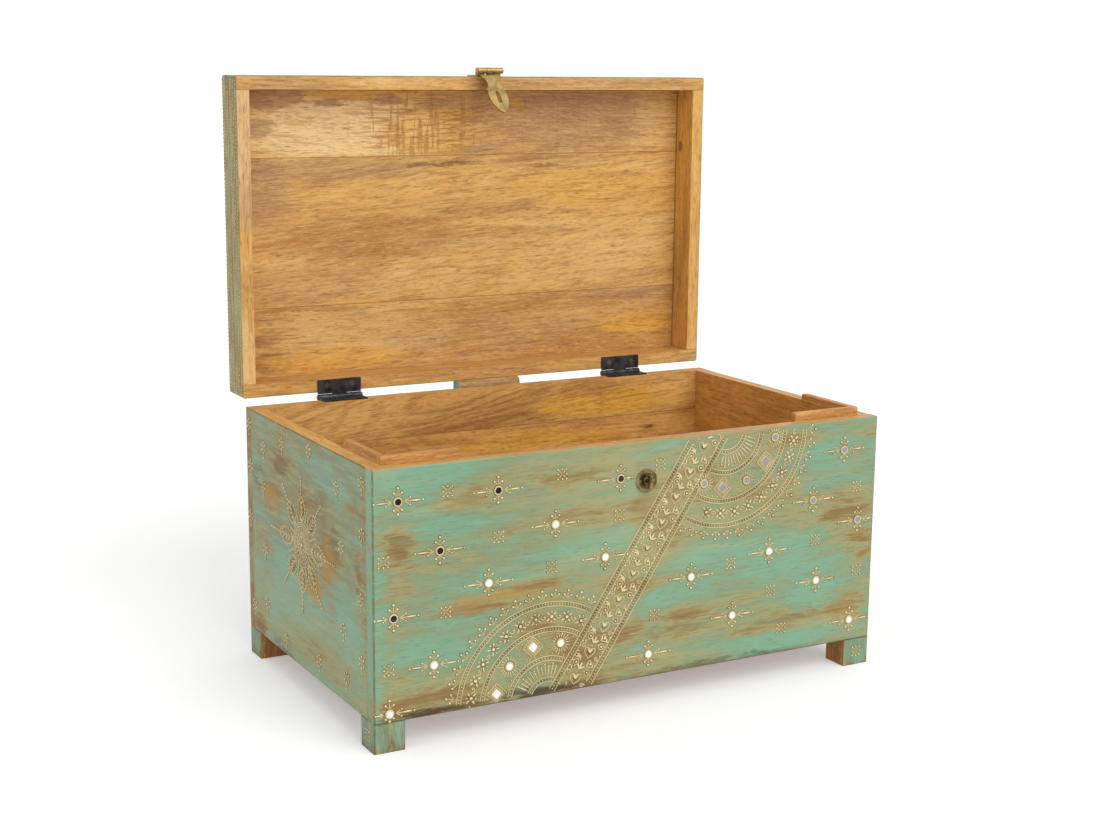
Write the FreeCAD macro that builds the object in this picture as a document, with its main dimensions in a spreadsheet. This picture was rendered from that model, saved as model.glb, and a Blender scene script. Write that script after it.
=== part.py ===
"""Lift-lid storage chest in painted wood, lid open on its stop, with hinges, hasp and turn catch.

Frame: millimetres, +Z up, front towards -Y, origin on the floor under the middle of the part's box.
"""
import FreeCAD, Part
import os
import re

import Sketcher

# Driving sizes, all lengths in millimetres

SIZES = {
    # carcase
    "chest_width": 800,
    "chest_depth": 470,
    "wall_height": 336,
    "wall_thickness": 21,
    "back_top_board": 64,
    "edge_round": 2,
    "foot_height": 40,
    "foot_side": 44,
    "bottom_thickness": 12,
    "bottom_lift": 10,
    "groove_depth": 7,
    "groove_clearance": 0.2,
    # strips inside the front corners that guide the lid home
    "guide_length": 112,
    "guide_thickness": 10,
    "guide_height": 30,
    "guide_rise": 12,
    "guide_play": 1,
    # lid
    "lid_height": 62,
    "lid_board": 14,
    "lid_front_board": 121,
    "lid_middle_board": 224,
    "lid_round": 3,
    "rim_play": 0.6,
    # block behind the back wall that the open lid leans on
    "stop_length": 106,
    "stop_depth": 24,
    "stop_height": 52,
    # butt hinges
    "hinge_setback": 7.7,
    "hinge_length": 70,
    "hinge_leaf": 2.2,
    "hinge_cover": 19,
    "hinge_barrel": 4.8,
    "hinge_pin": 2.4,
    "hinge_pin_head": 3.6,
    "hinge_pin_cap": 1.2,
    "knuckle_gap": 0.4,
    "turning_clearance": 0.05,
    # hasp
    "latch_offset": 4,
    "hasp_drop": 5.5,
    "hasp_barrel": 4.6,
    "hasp_pin": 2.2,
    "hasp_pin_head": 3.2,
    "hasp_pin_cap": 1,
    "hasp_length": 42,
    "hasp_knuckle": 12,
    "hasp_thickness": 2.4,
    "hasp_plate_height": 30,
    "hasp_screw_inset": 8,
    "hasp_neck": 1.4,
    "hasp_head_width": 33,
    "hasp_waist": 21,
    "hasp_waist_radius": 18,
    "hasp_shoulder_rise": 11,
    "hasp_boat_width": 31,
    "hasp_boat_rise": 2,
    "hasp_boat_reach": 32,
    "slot_end_play": 3,
    "slot_side_play": 1.6,
    # turn catch
    "catch_drop": 55,
    "rosette_radius": 16.5,
    "rosette_rim": 3,
    "rosette_rim_height": 3.4,
    "rosette_dish": 1.6,
    "rosette_boss": 5,
    "rosette_boss_height": 2.6,
    "rosette_screw_inset": 6.2,
    "rosette_play": 1,
    "bar_length": 20,
    "bar_width": 5,
    "bar_depth": 7,
    "bar_round": 1.5,
    "bar_clearance": 0.6,
    "bar_pin": 2.4,
    # fasteners
    "screw_head": 4,
    "screw_head_height": 2.2,
    "screw_shank": 1.8,
    "screw_length": 17,
    "screw_tip": 3,
    "pin_screw_head": 2,
    "pin_screw_shank": 1,
    "pin_screw_head_height": 1.2,
    "pin_screw_length": 12,
    "pin_screw_tip": 2,
    "long_screw_head": 4,
    "long_screw_head_height": 3,
    "long_screw_shank": 2.2,
    "long_screw_tip": 4,
    "foot_screw_bite": 24,
    "foot_screw_inset": 8,
    "dowel_radius": 4,
    "dowel_in_face": 12,
    "dowel_in_end": 26,
    "seat_clearance": 0.1,
    # mirror pieces set on the front
    "mirror_radius": 5,
    "mirror_thickness": 1.2,
    "diamond_reach": 7,
}

# Places as shares of the piece that carries them

# heights of the corner dowels, of the wall's height
DOWEL_HEIGHT_SHARES = (0.14, 0.4, 0.66, 0.9)
# depths of the lid's corner dowels, of the rail's own depth
LID_DOWEL_SHARES = (0.3, 0.7)
# middles of the hinges, across the width from the chest's middle
HINGE_SHARE = 0.31
# screws of a hinge leaf, along its length from the middle
HINGE_SCREW_SHARES = (-0.29, 0.29)
# screws of the hasp plate and of the stop block, along their length from the middle
PLATE_SCREW_SHARES = (-0.32, 0.32)
# depth of the catch's pin, of the wall's thickness
PIN_DEPTH_SHARE = 0.66
# mirror places: across the width from the middle, and up the wall
FLOWER_MIRROR_SHARES = (
    (-0.456, 0.869), (-0.278, 0.868), (-0.046, 0.857), (-0.383, 0.658), (-0.295, 0.502),
    (-0.171, 0.703), (-0.074, 0.54), (-0.465, 0.415), (-0.394, 0.204), (-0.473, 0.036),
    (0.101, 0.402), (0.19, 0.205), (0.016, 0.097), (0.266, 0.462), (0.373, 0.3),
    (0.453, 0.095), (0.426, 0.867), (0.36, 0.661), (0.463, 0.547),
)
RING_MIRROR_SHARES = (
    (-0.159, 0.209), (-0.256, 0.146),
    (0.271, 0.957), (0.212, 0.786), (0.123, 0.794),
)
DIAMOND_MIRROR_SHARES = (
    (-0.212, 0.21), (-0.28, 0.041),
    (0.252, 0.858), (0.162, 0.767),
)

# Lean of the hasp leaf from straight down, in degrees

HASP_LEAN = 41

doc = FreeCAD.newDocument("storage_chest")
sheet = doc.addObject("Spreadsheet::Sheet", "sizes")
for row, (name, number) in enumerate(SIZES.items(), start=1):
    sheet.set(f"A{row}", name)
    sheet.set(f"B{row}", str(number))
    sheet.setAlias(f"B{row}", name)
doc.recompute()

# Datum lines, as expressions of the sizes

CLOSED_GAP = "(2*hinge_leaf + knuckle_gap)"
LID_RAIL = "(wall_thickness - guide_play)"
RAIL_DEPTH = "(lid_height - lid_board)"
HASP_FACE = "(rosette_rim_height + rosette_play)"
BAR_BACK = f"({HASP_FACE} + hasp_thickness + bar_clearance)"
CATCH_REACH = f"({BAR_BACK} + bar_depth)"
LID_REACH = f"(hinge_setback + {CLOSED_GAP}/2 + lid_height)"
MIDDLE_Y = f"(({CATCH_REACH} - {LID_REACH})/2)"
FRONT = f"({MIDDLE_Y} - chest_depth/2)"
BACK = f"({MIDDLE_Y} + chest_depth/2)"
LEFT = "(-chest_width/2)"
RIGHT = "(chest_width/2)"
RIM = "(foot_height + wall_height)"
AXIS_Y = f"({BACK} + hinge_setback)"
AXIS_Z = f"({RIM} + {CLOSED_GAP}/2)"
LID_RIM = f"({AXIS_Y} + {CLOSED_GAP}/2)"
LID_LOW = f"({AXIS_Z} + hinge_setback)"
LID_HIGH = f"({LID_LOW} + chest_depth)"
HASP_Y = f"({LID_RIM} - hasp_drop)"
HASP_Z = f"({LID_HIGH} + {HASP_FACE} + hasp_barrel)"
CATCH_Z = f"({RIM} - catch_drop)"
HINGE_OUT = f"(chest_width*{HINGE_SHARE})"
PIN_DEPTH = f"(wall_thickness*{PIN_DEPTH_SHARE})"

SIDES = {"left": -1, "right": 1}
ENDS = {"front": -1, "back": 1}
WAYS = {
    "+x": FreeCAD.Vector(1, 0, 0),
    "-x": FreeCAD.Vector(-1, 0, 0),
    "+y": FreeCAD.Vector(0, 1, 0),
    "-y": FreeCAD.Vector(0, -1, 0),
    "+z": FreeCAD.Vector(0, 0, 1),
    "-z": FreeCAD.Vector(0, 0, -1),
}
PIECES = []


def keep(*pieces):
    """Count features as pieces of the part."""
    PIECES.extend(pieces)


def bound(text):
    """The expression with every size's name pointed at the sheet."""
    names = "|".join(SIZES)
    return re.sub(rf"\b({names})\b", r"sizes.\1", text)


def value(text):
    """The expression's number."""
    return float(sheet.evalExpression(bound(text)))


def bind(thing, **texts):
    """Tie properties of a feature to expressions of the sizes."""
    for name, text in texts.items():
        thing.setExpression(name, bound(text))


def stand(thing, at, turn):
    """Place a feature at a point tied to the sizes, turned as given."""
    thing.Placement = FreeCAD.Placement(FreeCAD.Vector(), turn)
    for axis, text in zip("xyz", at):
        thing.setExpression(f"Placement.Base.{axis}", bound(text))
    return thing


def put(thing, at, way="+z"):
    """Stand a feature at a point, its own Z pointed along a way."""
    return stand(thing, at, FreeCAD.Rotation(WAYS["+z"], WAYS[way]))


def feature(kind, label):
    """A new feature of the document with its label."""
    thing = doc.addObject(kind, label)
    thing.Label = label
    return thing


def block(label, low, size):
    """A box from its low corner and its three sides."""
    thing = feature("Part::Box", label)
    bind(thing, Length=size[0], Width=size[1], Height=size[2])
    return put(thing, low)


def rod(label, at, way, radius, length):
    """A cylinder from the middle of its first end."""
    thing = feature("Part::Cylinder", label)
    bind(thing, Radius=radius, Height=length)
    return put(thing, at, way)


def fuse(label, *pieces):
    """Several features made one solid."""
    thing = feature("Part::MultiFuse", label)
    thing.Shapes = list(pieces)
    thing.Refine = True
    doc.recompute()
    return thing


def cut(label, base, *tools):
    """A feature with the room of its tools taken out."""
    for number, tool in enumerate(tools, start=1):
        last = number == len(tools)
        thing = feature("Part::Cut", label if last else f"{label}_step_{number}")
        thing.Base = base
        thing.Tool = tool
        base = thing
    doc.recompute()
    return base


def eased(label, base, radius, *corners):
    """A box with the named edges rounded: each edge is two sides such as x- and z+."""
    doc.recompute()
    box = base.Shape.BoundBox
    sides = {
        "x-": ("x", box.XMin), "x+": ("x", box.XMax), "y-": ("y", box.YMin),
        "y+": ("y", box.YMax), "z-": ("z", box.ZMin), "z+": ("z", box.ZMax),
    }
    near = Part.Precision.confusion()
    size = value(radius)
    chosen = []
    for number, edge in enumerate(base.Shape.Edges, start=1):
        middle = edge.CenterOfMass
        for corner in corners:
            spots = [sides[side] for side in corner.split()]
            if all(abs(getattr(middle, axis) - spot) < near for axis, spot in spots):
                chosen.append((number, size, size))
    thing = feature("Part::Fillet", label)
    thing.Base = base
    thing.Edges = chosen
    doc.recompute()
    return thing


def plane_of(body, role):
    """One of the body's own origin planes."""
    return next(plane for plane in body.Origin.OriginFeatures if plane.Role == role)


def turned(label, profile):
    """A turned piece: a profile of (radius, height) points revolved about its own Z axis."""
    body = feature("PartDesign::Body", label)
    sketch = body.newObject("Sketcher::SketchObject", f"{label}_profile")
    sketch.AttachmentSupport = [(plane_of(body, "XZ_Plane"), "")]
    sketch.MapMode = "FlatFace"
    points = [FreeCAD.Vector(value(radius), value(height), 0) for radius, height in profile]
    for number, start in enumerate(points):
        sketch.addGeometry(Part.LineSegment(start, points[(number + 1) % len(points)]))
    for number in range(len(points)):
        before = (number - 1) % len(points)
        sketch.addConstraint(Sketcher.Constraint("Coincident", before, 2, number, 1))
    for number, (radius, height) in enumerate(profile):
        for kind, text in (("DistanceX", radius), ("DistanceY", height)):
            if text == "0":
                on_axis = -2 if kind == "DistanceX" else -1
                sketch.addConstraint(Sketcher.Constraint("PointOnObject", number, 1, on_axis))
            else:
                index = sketch.addConstraint(Sketcher.Constraint(kind, -1, 1, number, 1, value(text)))
                sketch.setExpression(f"Constraints[{index}]", bound(text))
    spin = body.newObject("PartDesign::Revolution", f"{label}_turning")
    spin.Profile = sketch
    spin.ReferenceAxis = (sketch, ["V_Axis"])
    spin.Angle = 360
    body.Tip = spin
    doc.recompute()
    return body


def disc(label, radius, height):
    """A plain round piece, its first end at height zero."""
    return turned(label, (("0", "0"), (radius, "0"), (radius, height), ("0", height)))


def screw(label, head, height, shank, length, tip, grow="0"):
    """A countersunk wood screw, head face at its origin; grow widens it into the seat that it fills."""
    return turned(label, (
        ("0", "0"),
        (f"{head} + {grow}", "0"),
        (f"{shank} + {grow}", f"{height} + {grow}"),
        (f"{shank} + {grow}", length),
        ("0", f"{length} + {tip} + {grow}"),
    ))


def headed_pin(label, radius, length, head, cap):
    """A pin with a flat round head at each end, its shank from height zero."""
    return turned(label, (
        ("0", f"-{cap}"), (head, f"-{cap}"), (head, "0"), (radius, "0"),
        (radius, length), (head, length), (head, f"{length} + {cap}"), ("0", f"{length} + {cap}"),
    ))


def copies(label, master, places):
    """Separate copies of one piece, as one node: each place is a point and a way."""
    solids = []
    for at, way in places:
        solid = master.Shape.copy()
        turn = FreeCAD.Rotation(WAYS["+z"], WAYS[way])
        spot = FreeCAD.Vector(*(value(text) for text in at))
        solid.Placement = FreeCAD.Placement(spot, turn).multiply(solid.Placement)
        solids.append(solid)
    thing = feature("Part::Feature", label)
    thing.Shape = Part.makeCompound(solids)
    return thing


# Fasteners and the seats that they fill

WOOD_SCREW = ("screw_head", "screw_head_height", "screw_shank", "screw_length", "screw_tip")
PIN_SCREW = (
    "pin_screw_head", "pin_screw_head_height", "pin_screw_shank", "pin_screw_length", "pin_screw_tip",
)
LONG_HEAD = ("long_screw_head", "long_screw_head_height", "long_screw_shank")
FOOT_SCREW = (*LONG_HEAD, "(foot_height + foot_screw_bite)", "long_screw_tip")
# the stop's screws end one tip short of the wall's inner face
STOP_SCREW = (*LONG_HEAD, "(stop_depth + wall_thickness - 2*long_screw_tip)", "long_screw_tip")
wood_screw = screw("wood_screw", *WOOD_SCREW)
wood_seat = screw("wood_seat", *WOOD_SCREW, grow="seat_clearance")
pin_screw = screw("pin_screw", *PIN_SCREW)
pin_seat = screw("pin_seat", *PIN_SCREW, grow="seat_clearance")
foot_screw = screw("foot_screw", *FOOT_SCREW)
foot_seat = screw("foot_seat", *FOOT_SCREW, grow="seat_clearance")
stop_screw = screw("stop_screw", *STOP_SCREW)
stop_seat = screw("stop_seat", *STOP_SCREW, grow="seat_clearance")
DOWEL_LENGTH = "(dowel_in_face + dowel_in_end)"
dowel = disc("dowel", "dowel_radius", DOWEL_LENGTH)
dowel_seat = disc("dowel_seat", "dowel_radius + seat_clearance", f"{DOWEL_LENGTH} + seat_clearance")

# Where the fasteners go

corner_places = []
for sx in SIDES.values():
    x = f"{sx}*(chest_width - wall_thickness)/2"
    for sy, way in ((-1, "+y"), (1, "-y")):
        y = f"{MIDDLE_Y} + {sy}*(chest_depth/2 - wall_thickness + dowel_in_face)"
        for share in DOWEL_HEIGHT_SHARES:
            corner_places.append(((x, y, f"foot_height + wall_height*{share}"), way))

lid_corner_places = []
for sx in SIDES.values():
    x = f"{sx}*(chest_width - {LID_RAIL})/2"
    for share in LID_DOWEL_SHARES:
        y = f"{LID_RIM} + {RAIL_DEPTH}*{share}"
        lid_corner_places.append(((x, y, f"{LID_HIGH} - {LID_RAIL} + dowel_in_face"), "-z"))
        lid_corner_places.append(((x, y, f"{LID_LOW} + {LID_RAIL} - dowel_in_face"), "+z"))

foot_places = []
for sx in SIDES.values():
    near_x = f"{sx}*(chest_width - wall_thickness)/2"
    far_x = f"{sx}*(chest_width/2 - foot_side + foot_screw_inset)"
    for sy in ENDS.values():
        near_y = f"{MIDDLE_Y} + {sy}*(chest_depth - wall_thickness)/2"
        far_y = f"{MIDDLE_Y} + {sy}*(chest_depth/2 - foot_side + foot_screw_inset)"
        foot_places.append(((near_x, far_y, "0"), "+z"))
        foot_places.append(((far_x, near_y, "0"), "+z"))

lower_hinge_places = []
upper_hinge_places = []
for sx in SIDES.values():
    for share in HINGE_SCREW_SHARES:
        x = f"{sx}*{HINGE_OUT} + hinge_length*{share}"
        lower_hinge_places.append(((x, f"{BACK} - wall_thickness/2", f"{RIM} + hinge_leaf"), "-z"))
        upper_hinge_places.append(((x, f"{LID_RIM} - hinge_leaf", f"{LID_LOW} + {LID_RAIL}/2"), "+y"))

stop_places = []
plate_places = []
for share in PLATE_SCREW_SHARES:
    # the stop's screws stand midway up the face that it turns to the wall
    stop_z = f"({LID_LOW} - stop_height + {RIM})/2"
    stop_x = f"latch_offset + stop_length*{share}"
    stop_places.append(((stop_x, f"{BACK} + stop_depth", stop_z), "-y"))
    plate_x = f"latch_offset + hasp_length*{share}"
    plate_y = f"{LID_RIM} + hasp_plate_height - hasp_screw_inset"
    plate_places.append(((plate_x, plate_y, f"{LID_HIGH} + hasp_thickness"), "-z"))

rosette_places = []
for sx in SIDES.values():
    x = f"latch_offset + {sx}*(rosette_radius - rosette_screw_inset)"
    rosette_places.append(((x, f"{FRONT} - rosette_dish", CATCH_Z), "+y"))

corner_seats = copies("corner_seats", dowel_seat, corner_places)
lid_corner_seats = copies("lid_corner_seats", dowel_seat, lid_corner_places)
foot_seats = copies("foot_seats", foot_seat, foot_places)
lower_hinge_seats = copies("lower_hinge_seats", wood_seat, lower_hinge_places)
upper_hinge_seats = copies("upper_hinge_seats", wood_seat, upper_hinge_places)
stop_seats = copies("stop_seats", stop_seat, stop_places)
plate_seats = copies("plate_seats", wood_seat, plate_places)
rosette_seats = copies("rosette_seats", pin_seat, rosette_places)
keep(
    copies("corner_dowels", dowel, corner_places),
    copies("lid_corner_dowels", dowel, lid_corner_places),
    copies("foot_screws", foot_screw, foot_places),
    copies("lower_hinge_screws", wood_screw, lower_hinge_places),
    copies("upper_hinge_screws", wood_screw, upper_hinge_places),
    copies("lid_stop_screws", stop_screw, stop_places),
    copies("hasp_plate_screws", wood_screw, plate_places),
    copies("catch_screws", pin_screw, rosette_places),
)

# Bottom panel, held in a groove round the four walls


def bottom_block(label, inset, thickness):
    """A level panel that reaches under the walls as far as the inset from their outer faces."""
    return block(
        label, (f"{LEFT} + {inset}", f"{FRONT} + {inset}", "foot_height + bottom_lift"),
        (f"chest_width - 2*{inset}", f"chest_depth - 2*{inset}", thickness),
    )


GROOVE_IN = "(wall_thickness - groove_depth)"
groove = bottom_block("groove", GROOVE_IN, "bottom_thickness + groove_clearance")
keep(bottom_block("bottom_panel", f"({GROOVE_IN} + groove_clearance)", "bottom_thickness"))

# Walls: front and back run the full width, the sides butt between them

catch_bore = rod(
    "catch_bore", ("latch_offset", FRONT, CATCH_Z), "+y",
    "bar_pin + seat_clearance", f"{PIN_DEPTH} + seat_clearance",
)
front_blank = block(
    "front_blank", (LEFT, FRONT, "foot_height"), ("chest_width", "wall_thickness", "wall_height"),
)
front_blank = eased("front_eased", front_blank, "edge_round", "x- y-", "x+ y-", "y- z-", "y- z+")
keep(cut("front_panel", front_blank, groove, corner_seats, foot_seats, rosette_seats, catch_bore))

BACK_SEAM = f"({RIM} - back_top_board)"
for label, low, high, cuts in (
    ("back_board_lower", "foot_height", BACK_SEAM, (groove, corner_seats, foot_seats)),
    ("back_board_upper", BACK_SEAM, RIM, (corner_seats, lower_hinge_seats, stop_seats)),
):
    blank = block(
        f"{label}_blank", (LEFT, f"{BACK} - wall_thickness", low),
        ("chest_width", "wall_thickness", f"{high} - {low}"),
    )
    blank = eased(f"{label}_eased", blank, "edge_round", "x- y+", "x+ y+")
    keep(cut(label, blank, *cuts))

for side, low in (("left", LEFT), ("right", f"{RIGHT} - wall_thickness")):
    blank = block(
        f"{side}_blank", (low, f"{FRONT} + wall_thickness", "foot_height"),
        ("wall_thickness", "chest_depth - 2*wall_thickness", "wall_height"),
    )
    outer = "x-" if side == "left" else "x+"
    blank = eased(f"{side}_eased", blank, "edge_round", f"{outer} z-", f"{outer} z+")
    keep(cut(f"{side}_panel", blank, groove, corner_seats, foot_seats))

# Feet, flush with the outer corners

for side, x in (("left", LEFT), ("right", f"{RIGHT} - foot_side")):
    for end, y in (("front", FRONT), ("back", f"{BACK} - foot_side")):
        label = f"foot_{end}_{side}"
        blank = block(f"{label}_blank", (x, y, "0"), ("foot_side", "foot_side", "foot_height"))
        blank = eased(f"{label}_eased", blank, "edge_round", "x- y-", "x- y+", "x+ y-", "x+ y+")
        keep(cut(label, blank, foot_seats))

# Guide strips in the two front corners

GUIDE_Y = f"({FRONT} + wall_thickness)"
GUIDE_Z = f"({RIM} + guide_rise - guide_height)"
for side, sx in SIDES.items():
    inner = f"{sx}*(chest_width/2 - wall_thickness)"
    front_low = inner if sx < 0 else f"{inner} - guide_length"
    side_low = inner if sx < 0 else f"{inner} - guide_thickness"
    open_side = "x+" if sx < 0 else "x-"
    front_strip = block(
        f"front_strip_{side}", (front_low, GUIDE_Y, GUIDE_Z),
        ("guide_length", "guide_thickness", "guide_height"),
    )
    side_strip = block(
        f"side_strip_{side}", (side_low, f"{GUIDE_Y} + guide_thickness", GUIDE_Z),
        ("guide_thickness", "guide_length", "guide_height"),
    )
    front_edges = ("y+ z+", "y- z+", f"{open_side} z+")
    keep(eased(f"lid_guide_front_{side}", front_strip, "edge_round", *front_edges))
    keep(eased(f"lid_guide_side_{side}", side_strip, "edge_round", f"{open_side} z+", "y+ z+"))

# Stop block: its front top edge is rounded about the hinge axis, so that the lid's corner swings past

stop_blank = block(
    "stop_blank", ("latch_offset - stop_length/2", BACK, f"{LID_LOW} - stop_height"),
    ("stop_length", "stop_depth", "stop_height"),
)
stop_blank = eased("stop_eased", stop_blank, "hinge_setback", "y- z+")
keep(cut("lid_stop_block", stop_blank, stop_seats))

# Lid, drawn open: its rim faces the front and its front rail is on top

for label, low, corners, fixing in (
    ("lid_front_rail", f"{LID_HIGH} - {LID_RAIL}", ("x- z+", "x+ z+"), plate_seats),
    ("lid_back_rail", LID_LOW, ("x- z-", "x+ z-"), upper_hinge_seats),
):
    blank = block(f"{label}_blank", (LEFT, LID_RIM, low), ("chest_width", RAIL_DEPTH, LID_RAIL))
    blank = eased(f"{label}_eased", blank, "lid_round", *corners)
    keep(cut(label, blank, lid_corner_seats, fixing))
for side, low in (("left", LEFT), ("right", f"{RIGHT} - {LID_RAIL}")):
    blank = block(
        f"lid_{side}_blank", (low, LID_RIM, f"{LID_LOW} + {LID_RAIL}"),
        (LID_RAIL, RAIL_DEPTH, f"chest_depth - 2*{LID_RAIL}"),
    )
    keep(cut(f"lid_{side}_rail", blank, lid_corner_seats))

LID_SEAM = f"({LID_HIGH} - lid_front_board)"
BACK_BOARD = "(chest_depth - lid_front_board - lid_middle_board)"
for label, low, width, corners in (
    ("lid_board_front", LID_SEAM, "lid_front_board", ("y+ z+", "x- z+", "x+ z+")),
    ("lid_board_middle", f"{LID_LOW} + {BACK_BOARD}", "lid_middle_board", ()),
    ("lid_board_back", LID_LOW, BACK_BOARD, ("y+ z-", "x- z-", "x+ z-")),
):
    blank = block(
        f"{label}_blank", (LEFT, f"{LID_RIM} + {RAIL_DEPTH}", low), ("chest_width", "lid_board", width),
    )
    keep(eased(label, blank, "lid_round", "x- y+", "x+ y+", *corners))

# Butt hinges: the outer knuckles carry the chest's leaf, the middle one the lid's

KNUCKLE = "((hinge_length - 2*knuckle_gap)/3)"
NOTCH = "(hinge_barrel + knuckle_gap)"
LEAF_REACH = f"(hinge_setback + hinge_cover - {NOTCH})"


def hinge_ring(label, x):
    """One knuckle of a hinge's barrel, from its left end."""
    return rod(label, (x, AXIS_Y, AXIS_Z), "+x", "hinge_barrel", KNUCKLE)


for side, sx in SIDES.items():
    start = f"({sx}*{HINGE_OUT} - hinge_length/2)"
    middle = f"({start} + {KNUCKLE} + knuckle_gap)"
    last = f"({start} + hinge_length - {KNUCKLE})"
    bore = rod(
        f"hinge_bore_{side}", (start, AXIS_Y, AXIS_Z), "+x",
        "hinge_pin + turning_clearance", "hinge_length",
    )
    lower = [block(
        f"lower_plate_{side}", (start, f"{AXIS_Y} - {NOTCH} - {LEAF_REACH}", RIM),
        ("hinge_length", LEAF_REACH, "hinge_leaf"),
    )]
    for place, x in (("first", start), ("last", last)):
        lower.append(hinge_ring(f"lower_ring_{place}_{side}", x))
        lower.append(block(
            f"lower_tab_{place}_{side}", (x, f"{AXIS_Y} - {NOTCH}", RIM), (KNUCKLE, NOTCH, "hinge_leaf"),
        ))
    upper_y = f"{LID_RIM} - hinge_leaf"
    upper = [
        block(
            f"upper_plate_{side}", (start, upper_y, f"{AXIS_Z} + {NOTCH}"),
            ("hinge_length", "hinge_leaf", LEAF_REACH),
        ),
        hinge_ring(f"upper_ring_{side}", middle),
        block(f"upper_tab_{side}", (middle, upper_y, AXIS_Z), (KNUCKLE, "hinge_leaf", NOTCH)),
    ]
    lower_leaf = fuse(f"lower_leaf_{side}", *lower)
    upper_leaf = fuse(f"upper_leaf_{side}", *upper)
    keep(cut(f"hinge_lower_leaf_{side}", lower_leaf, bore, lower_hinge_seats))
    keep(cut(f"hinge_upper_leaf_{side}", upper_leaf, bore, upper_hinge_seats))
    pin = headed_pin(f"hinge_pin_{side}", "hinge_pin", "hinge_length", "hinge_pin_head", "hinge_pin_cap")
    keep(put(pin, (start, AXIS_Y, AXIS_Z), "+x"))

# Hasp plate: flat on the lid's front, turned up at its edge and rolled into two knuckles

HASP_LEFT = "(latch_offset - hasp_length/2)"
HASP_EAR = "((hasp_length - hasp_knuckle)/2 - knuckle_gap)"
PLATE_EDGE = f"({HASP_Y} + hasp_barrel + knuckle_gap)"
plate_pieces = [block(
    "hasp_flat", (HASP_LEFT, PLATE_EDGE, LID_HIGH),
    ("hasp_length", f"{LID_RIM} + hasp_plate_height - {PLATE_EDGE}", "hasp_thickness"),
)]
for place, x in (("left", HASP_LEFT), ("right", f"{HASP_LEFT} + hasp_length - {HASP_EAR}")):
    rise = block(
        f"hasp_rise_{place}", (x, HASP_Y, LID_HIGH),
        (HASP_EAR, f"{PLATE_EDGE} + hasp_thickness - {HASP_Y}", f"{HASP_Z} + hasp_barrel - {LID_HIGH}"),
    )
    # the outer radius of the roll is the knuckle's own, taken back to the plate's edge
    under = block(
        f"hasp_under_{place}", (x, HASP_Y, LID_HIGH),
        (HASP_EAR, f"{PLATE_EDGE} - {HASP_Y}", f"{HASP_Z} + hasp_barrel - hasp_thickness - {LID_HIGH}"),
    )
    bent = cut(f"hasp_bent_{place}", eased(f"hasp_bend_{place}", rise, "hasp_barrel", "y+ z+"), under)
    plate_pieces.append(bent)
    plate_pieces.append(rod(f"hasp_ear_{place}", (x, HASP_Y, HASP_Z), "+x", "hasp_barrel", HASP_EAR))
hasp_bore = rod(
    "hasp_bore", (HASP_LEFT, HASP_Y, HASP_Z), "+x", "hasp_pin + turning_clearance", "hasp_length",
)
keep(cut("hasp_plate", fuse("hasp_plate_blank", *plate_pieces), hasp_bore, plate_seats))
PIN_SPAN = "(hasp_length + knuckle_gap)"
hasp_pin = headed_pin("hasp_pin", "hasp_pin", PIN_SPAN, "hasp_pin_head", "hasp_pin_cap")
keep(put(hasp_pin, (f"{HASP_LEFT} - knuckle_gap/2", HASP_Y, HASP_Z), "+x"))

# Hasp leaf, drawn hanging from its knuckle: waisted head, pointed boat and slot, then leaned forward

# the closed lid leans on: its front edge comes down to the rim, and the hasp's axis a little more
LID_SWING = "(hinge_setback + chest_depth)"
HASP_SINK = f"(({CLOSED_GAP} - rim_play)*({LID_SWING} + {HASP_FACE} + hasp_barrel)/{LID_SWING})"
SLOT_AT = f"(catch_drop + {CLOSED_GAP} - hasp_drop - {HASP_SINK})"
SLOT_WIDTH = "(bar_width + slot_side_play)"
SLOT_STRAIGHT = f"(bar_length + slot_end_play - {SLOT_WIDTH})"
LEAF_FACE = "(hasp_barrel - hasp_thickness)"
HEAD_TOP = "(hasp_barrel + hasp_neck)"
BOAT_MIDDLE = f"({SLOT_AT} - hasp_boat_rise)"
HEAD_END = f"({BOAT_MIDDLE} - hasp_shoulder_rise)"
BOAT_RADIUS = "(hasp_boat_reach*hasp_boat_reach/hasp_boat_width + hasp_boat_width/4)"
BOAT_OUT = f"({BOAT_RADIUS} - hasp_boat_width/2)"
WAIST_OUT = "(hasp_waist/2 + hasp_waist_radius)"


def leaf_rod(label, x, z, radius):
    """A round tool through the leaf's thickness."""
    return rod(label, (x, LEAF_FACE, z), "+y", radius, "hasp_thickness")


def leaf_block(label, width, top, end):
    """A straight stretch of the leaf, from its top to its end below the knuckle."""
    return block(
        label, (f"-{width}/2", LEAF_FACE, f"-{end}"), (width, "hasp_thickness", f"{end} - {top}"),
    )


waists = []
bows = []
for side, sx in SIDES.items():
    waist_z = f"-({HEAD_TOP} + {HEAD_END})/2"
    waists.append(leaf_rod(f"leaf_waist_{side}", f"{sx}*{WAIST_OUT}", waist_z, "hasp_waist_radius"))
    bows.append(leaf_rod(f"leaf_bow_{side}", f"{sx}*{BOAT_OUT}", f"-{BOAT_MIDDLE}", BOAT_RADIUS))
leaf_head = leaf_block("leaf_head", "hasp_head_width", HEAD_TOP, HEAD_END)
leaf_boat = feature("Part::MultiCommon", "leaf_boat")
leaf_boat.Shapes = bows
leaf_blank = fuse(
    "leaf_blank",
    cut("leaf_waisted", leaf_head, *waists),
    leaf_boat,
    rod("leaf_knuckle", ("-hasp_knuckle/2", "0", "0"), "+x", "hasp_barrel", "hasp_knuckle"),
    leaf_block("leaf_tab", "hasp_knuckle", "0", HEAD_TOP),
)
slot_top = f"({SLOT_AT} - {SLOT_STRAIGHT}/2)"
slot_end = f"({SLOT_AT} + {SLOT_STRAIGHT}/2)"
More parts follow.
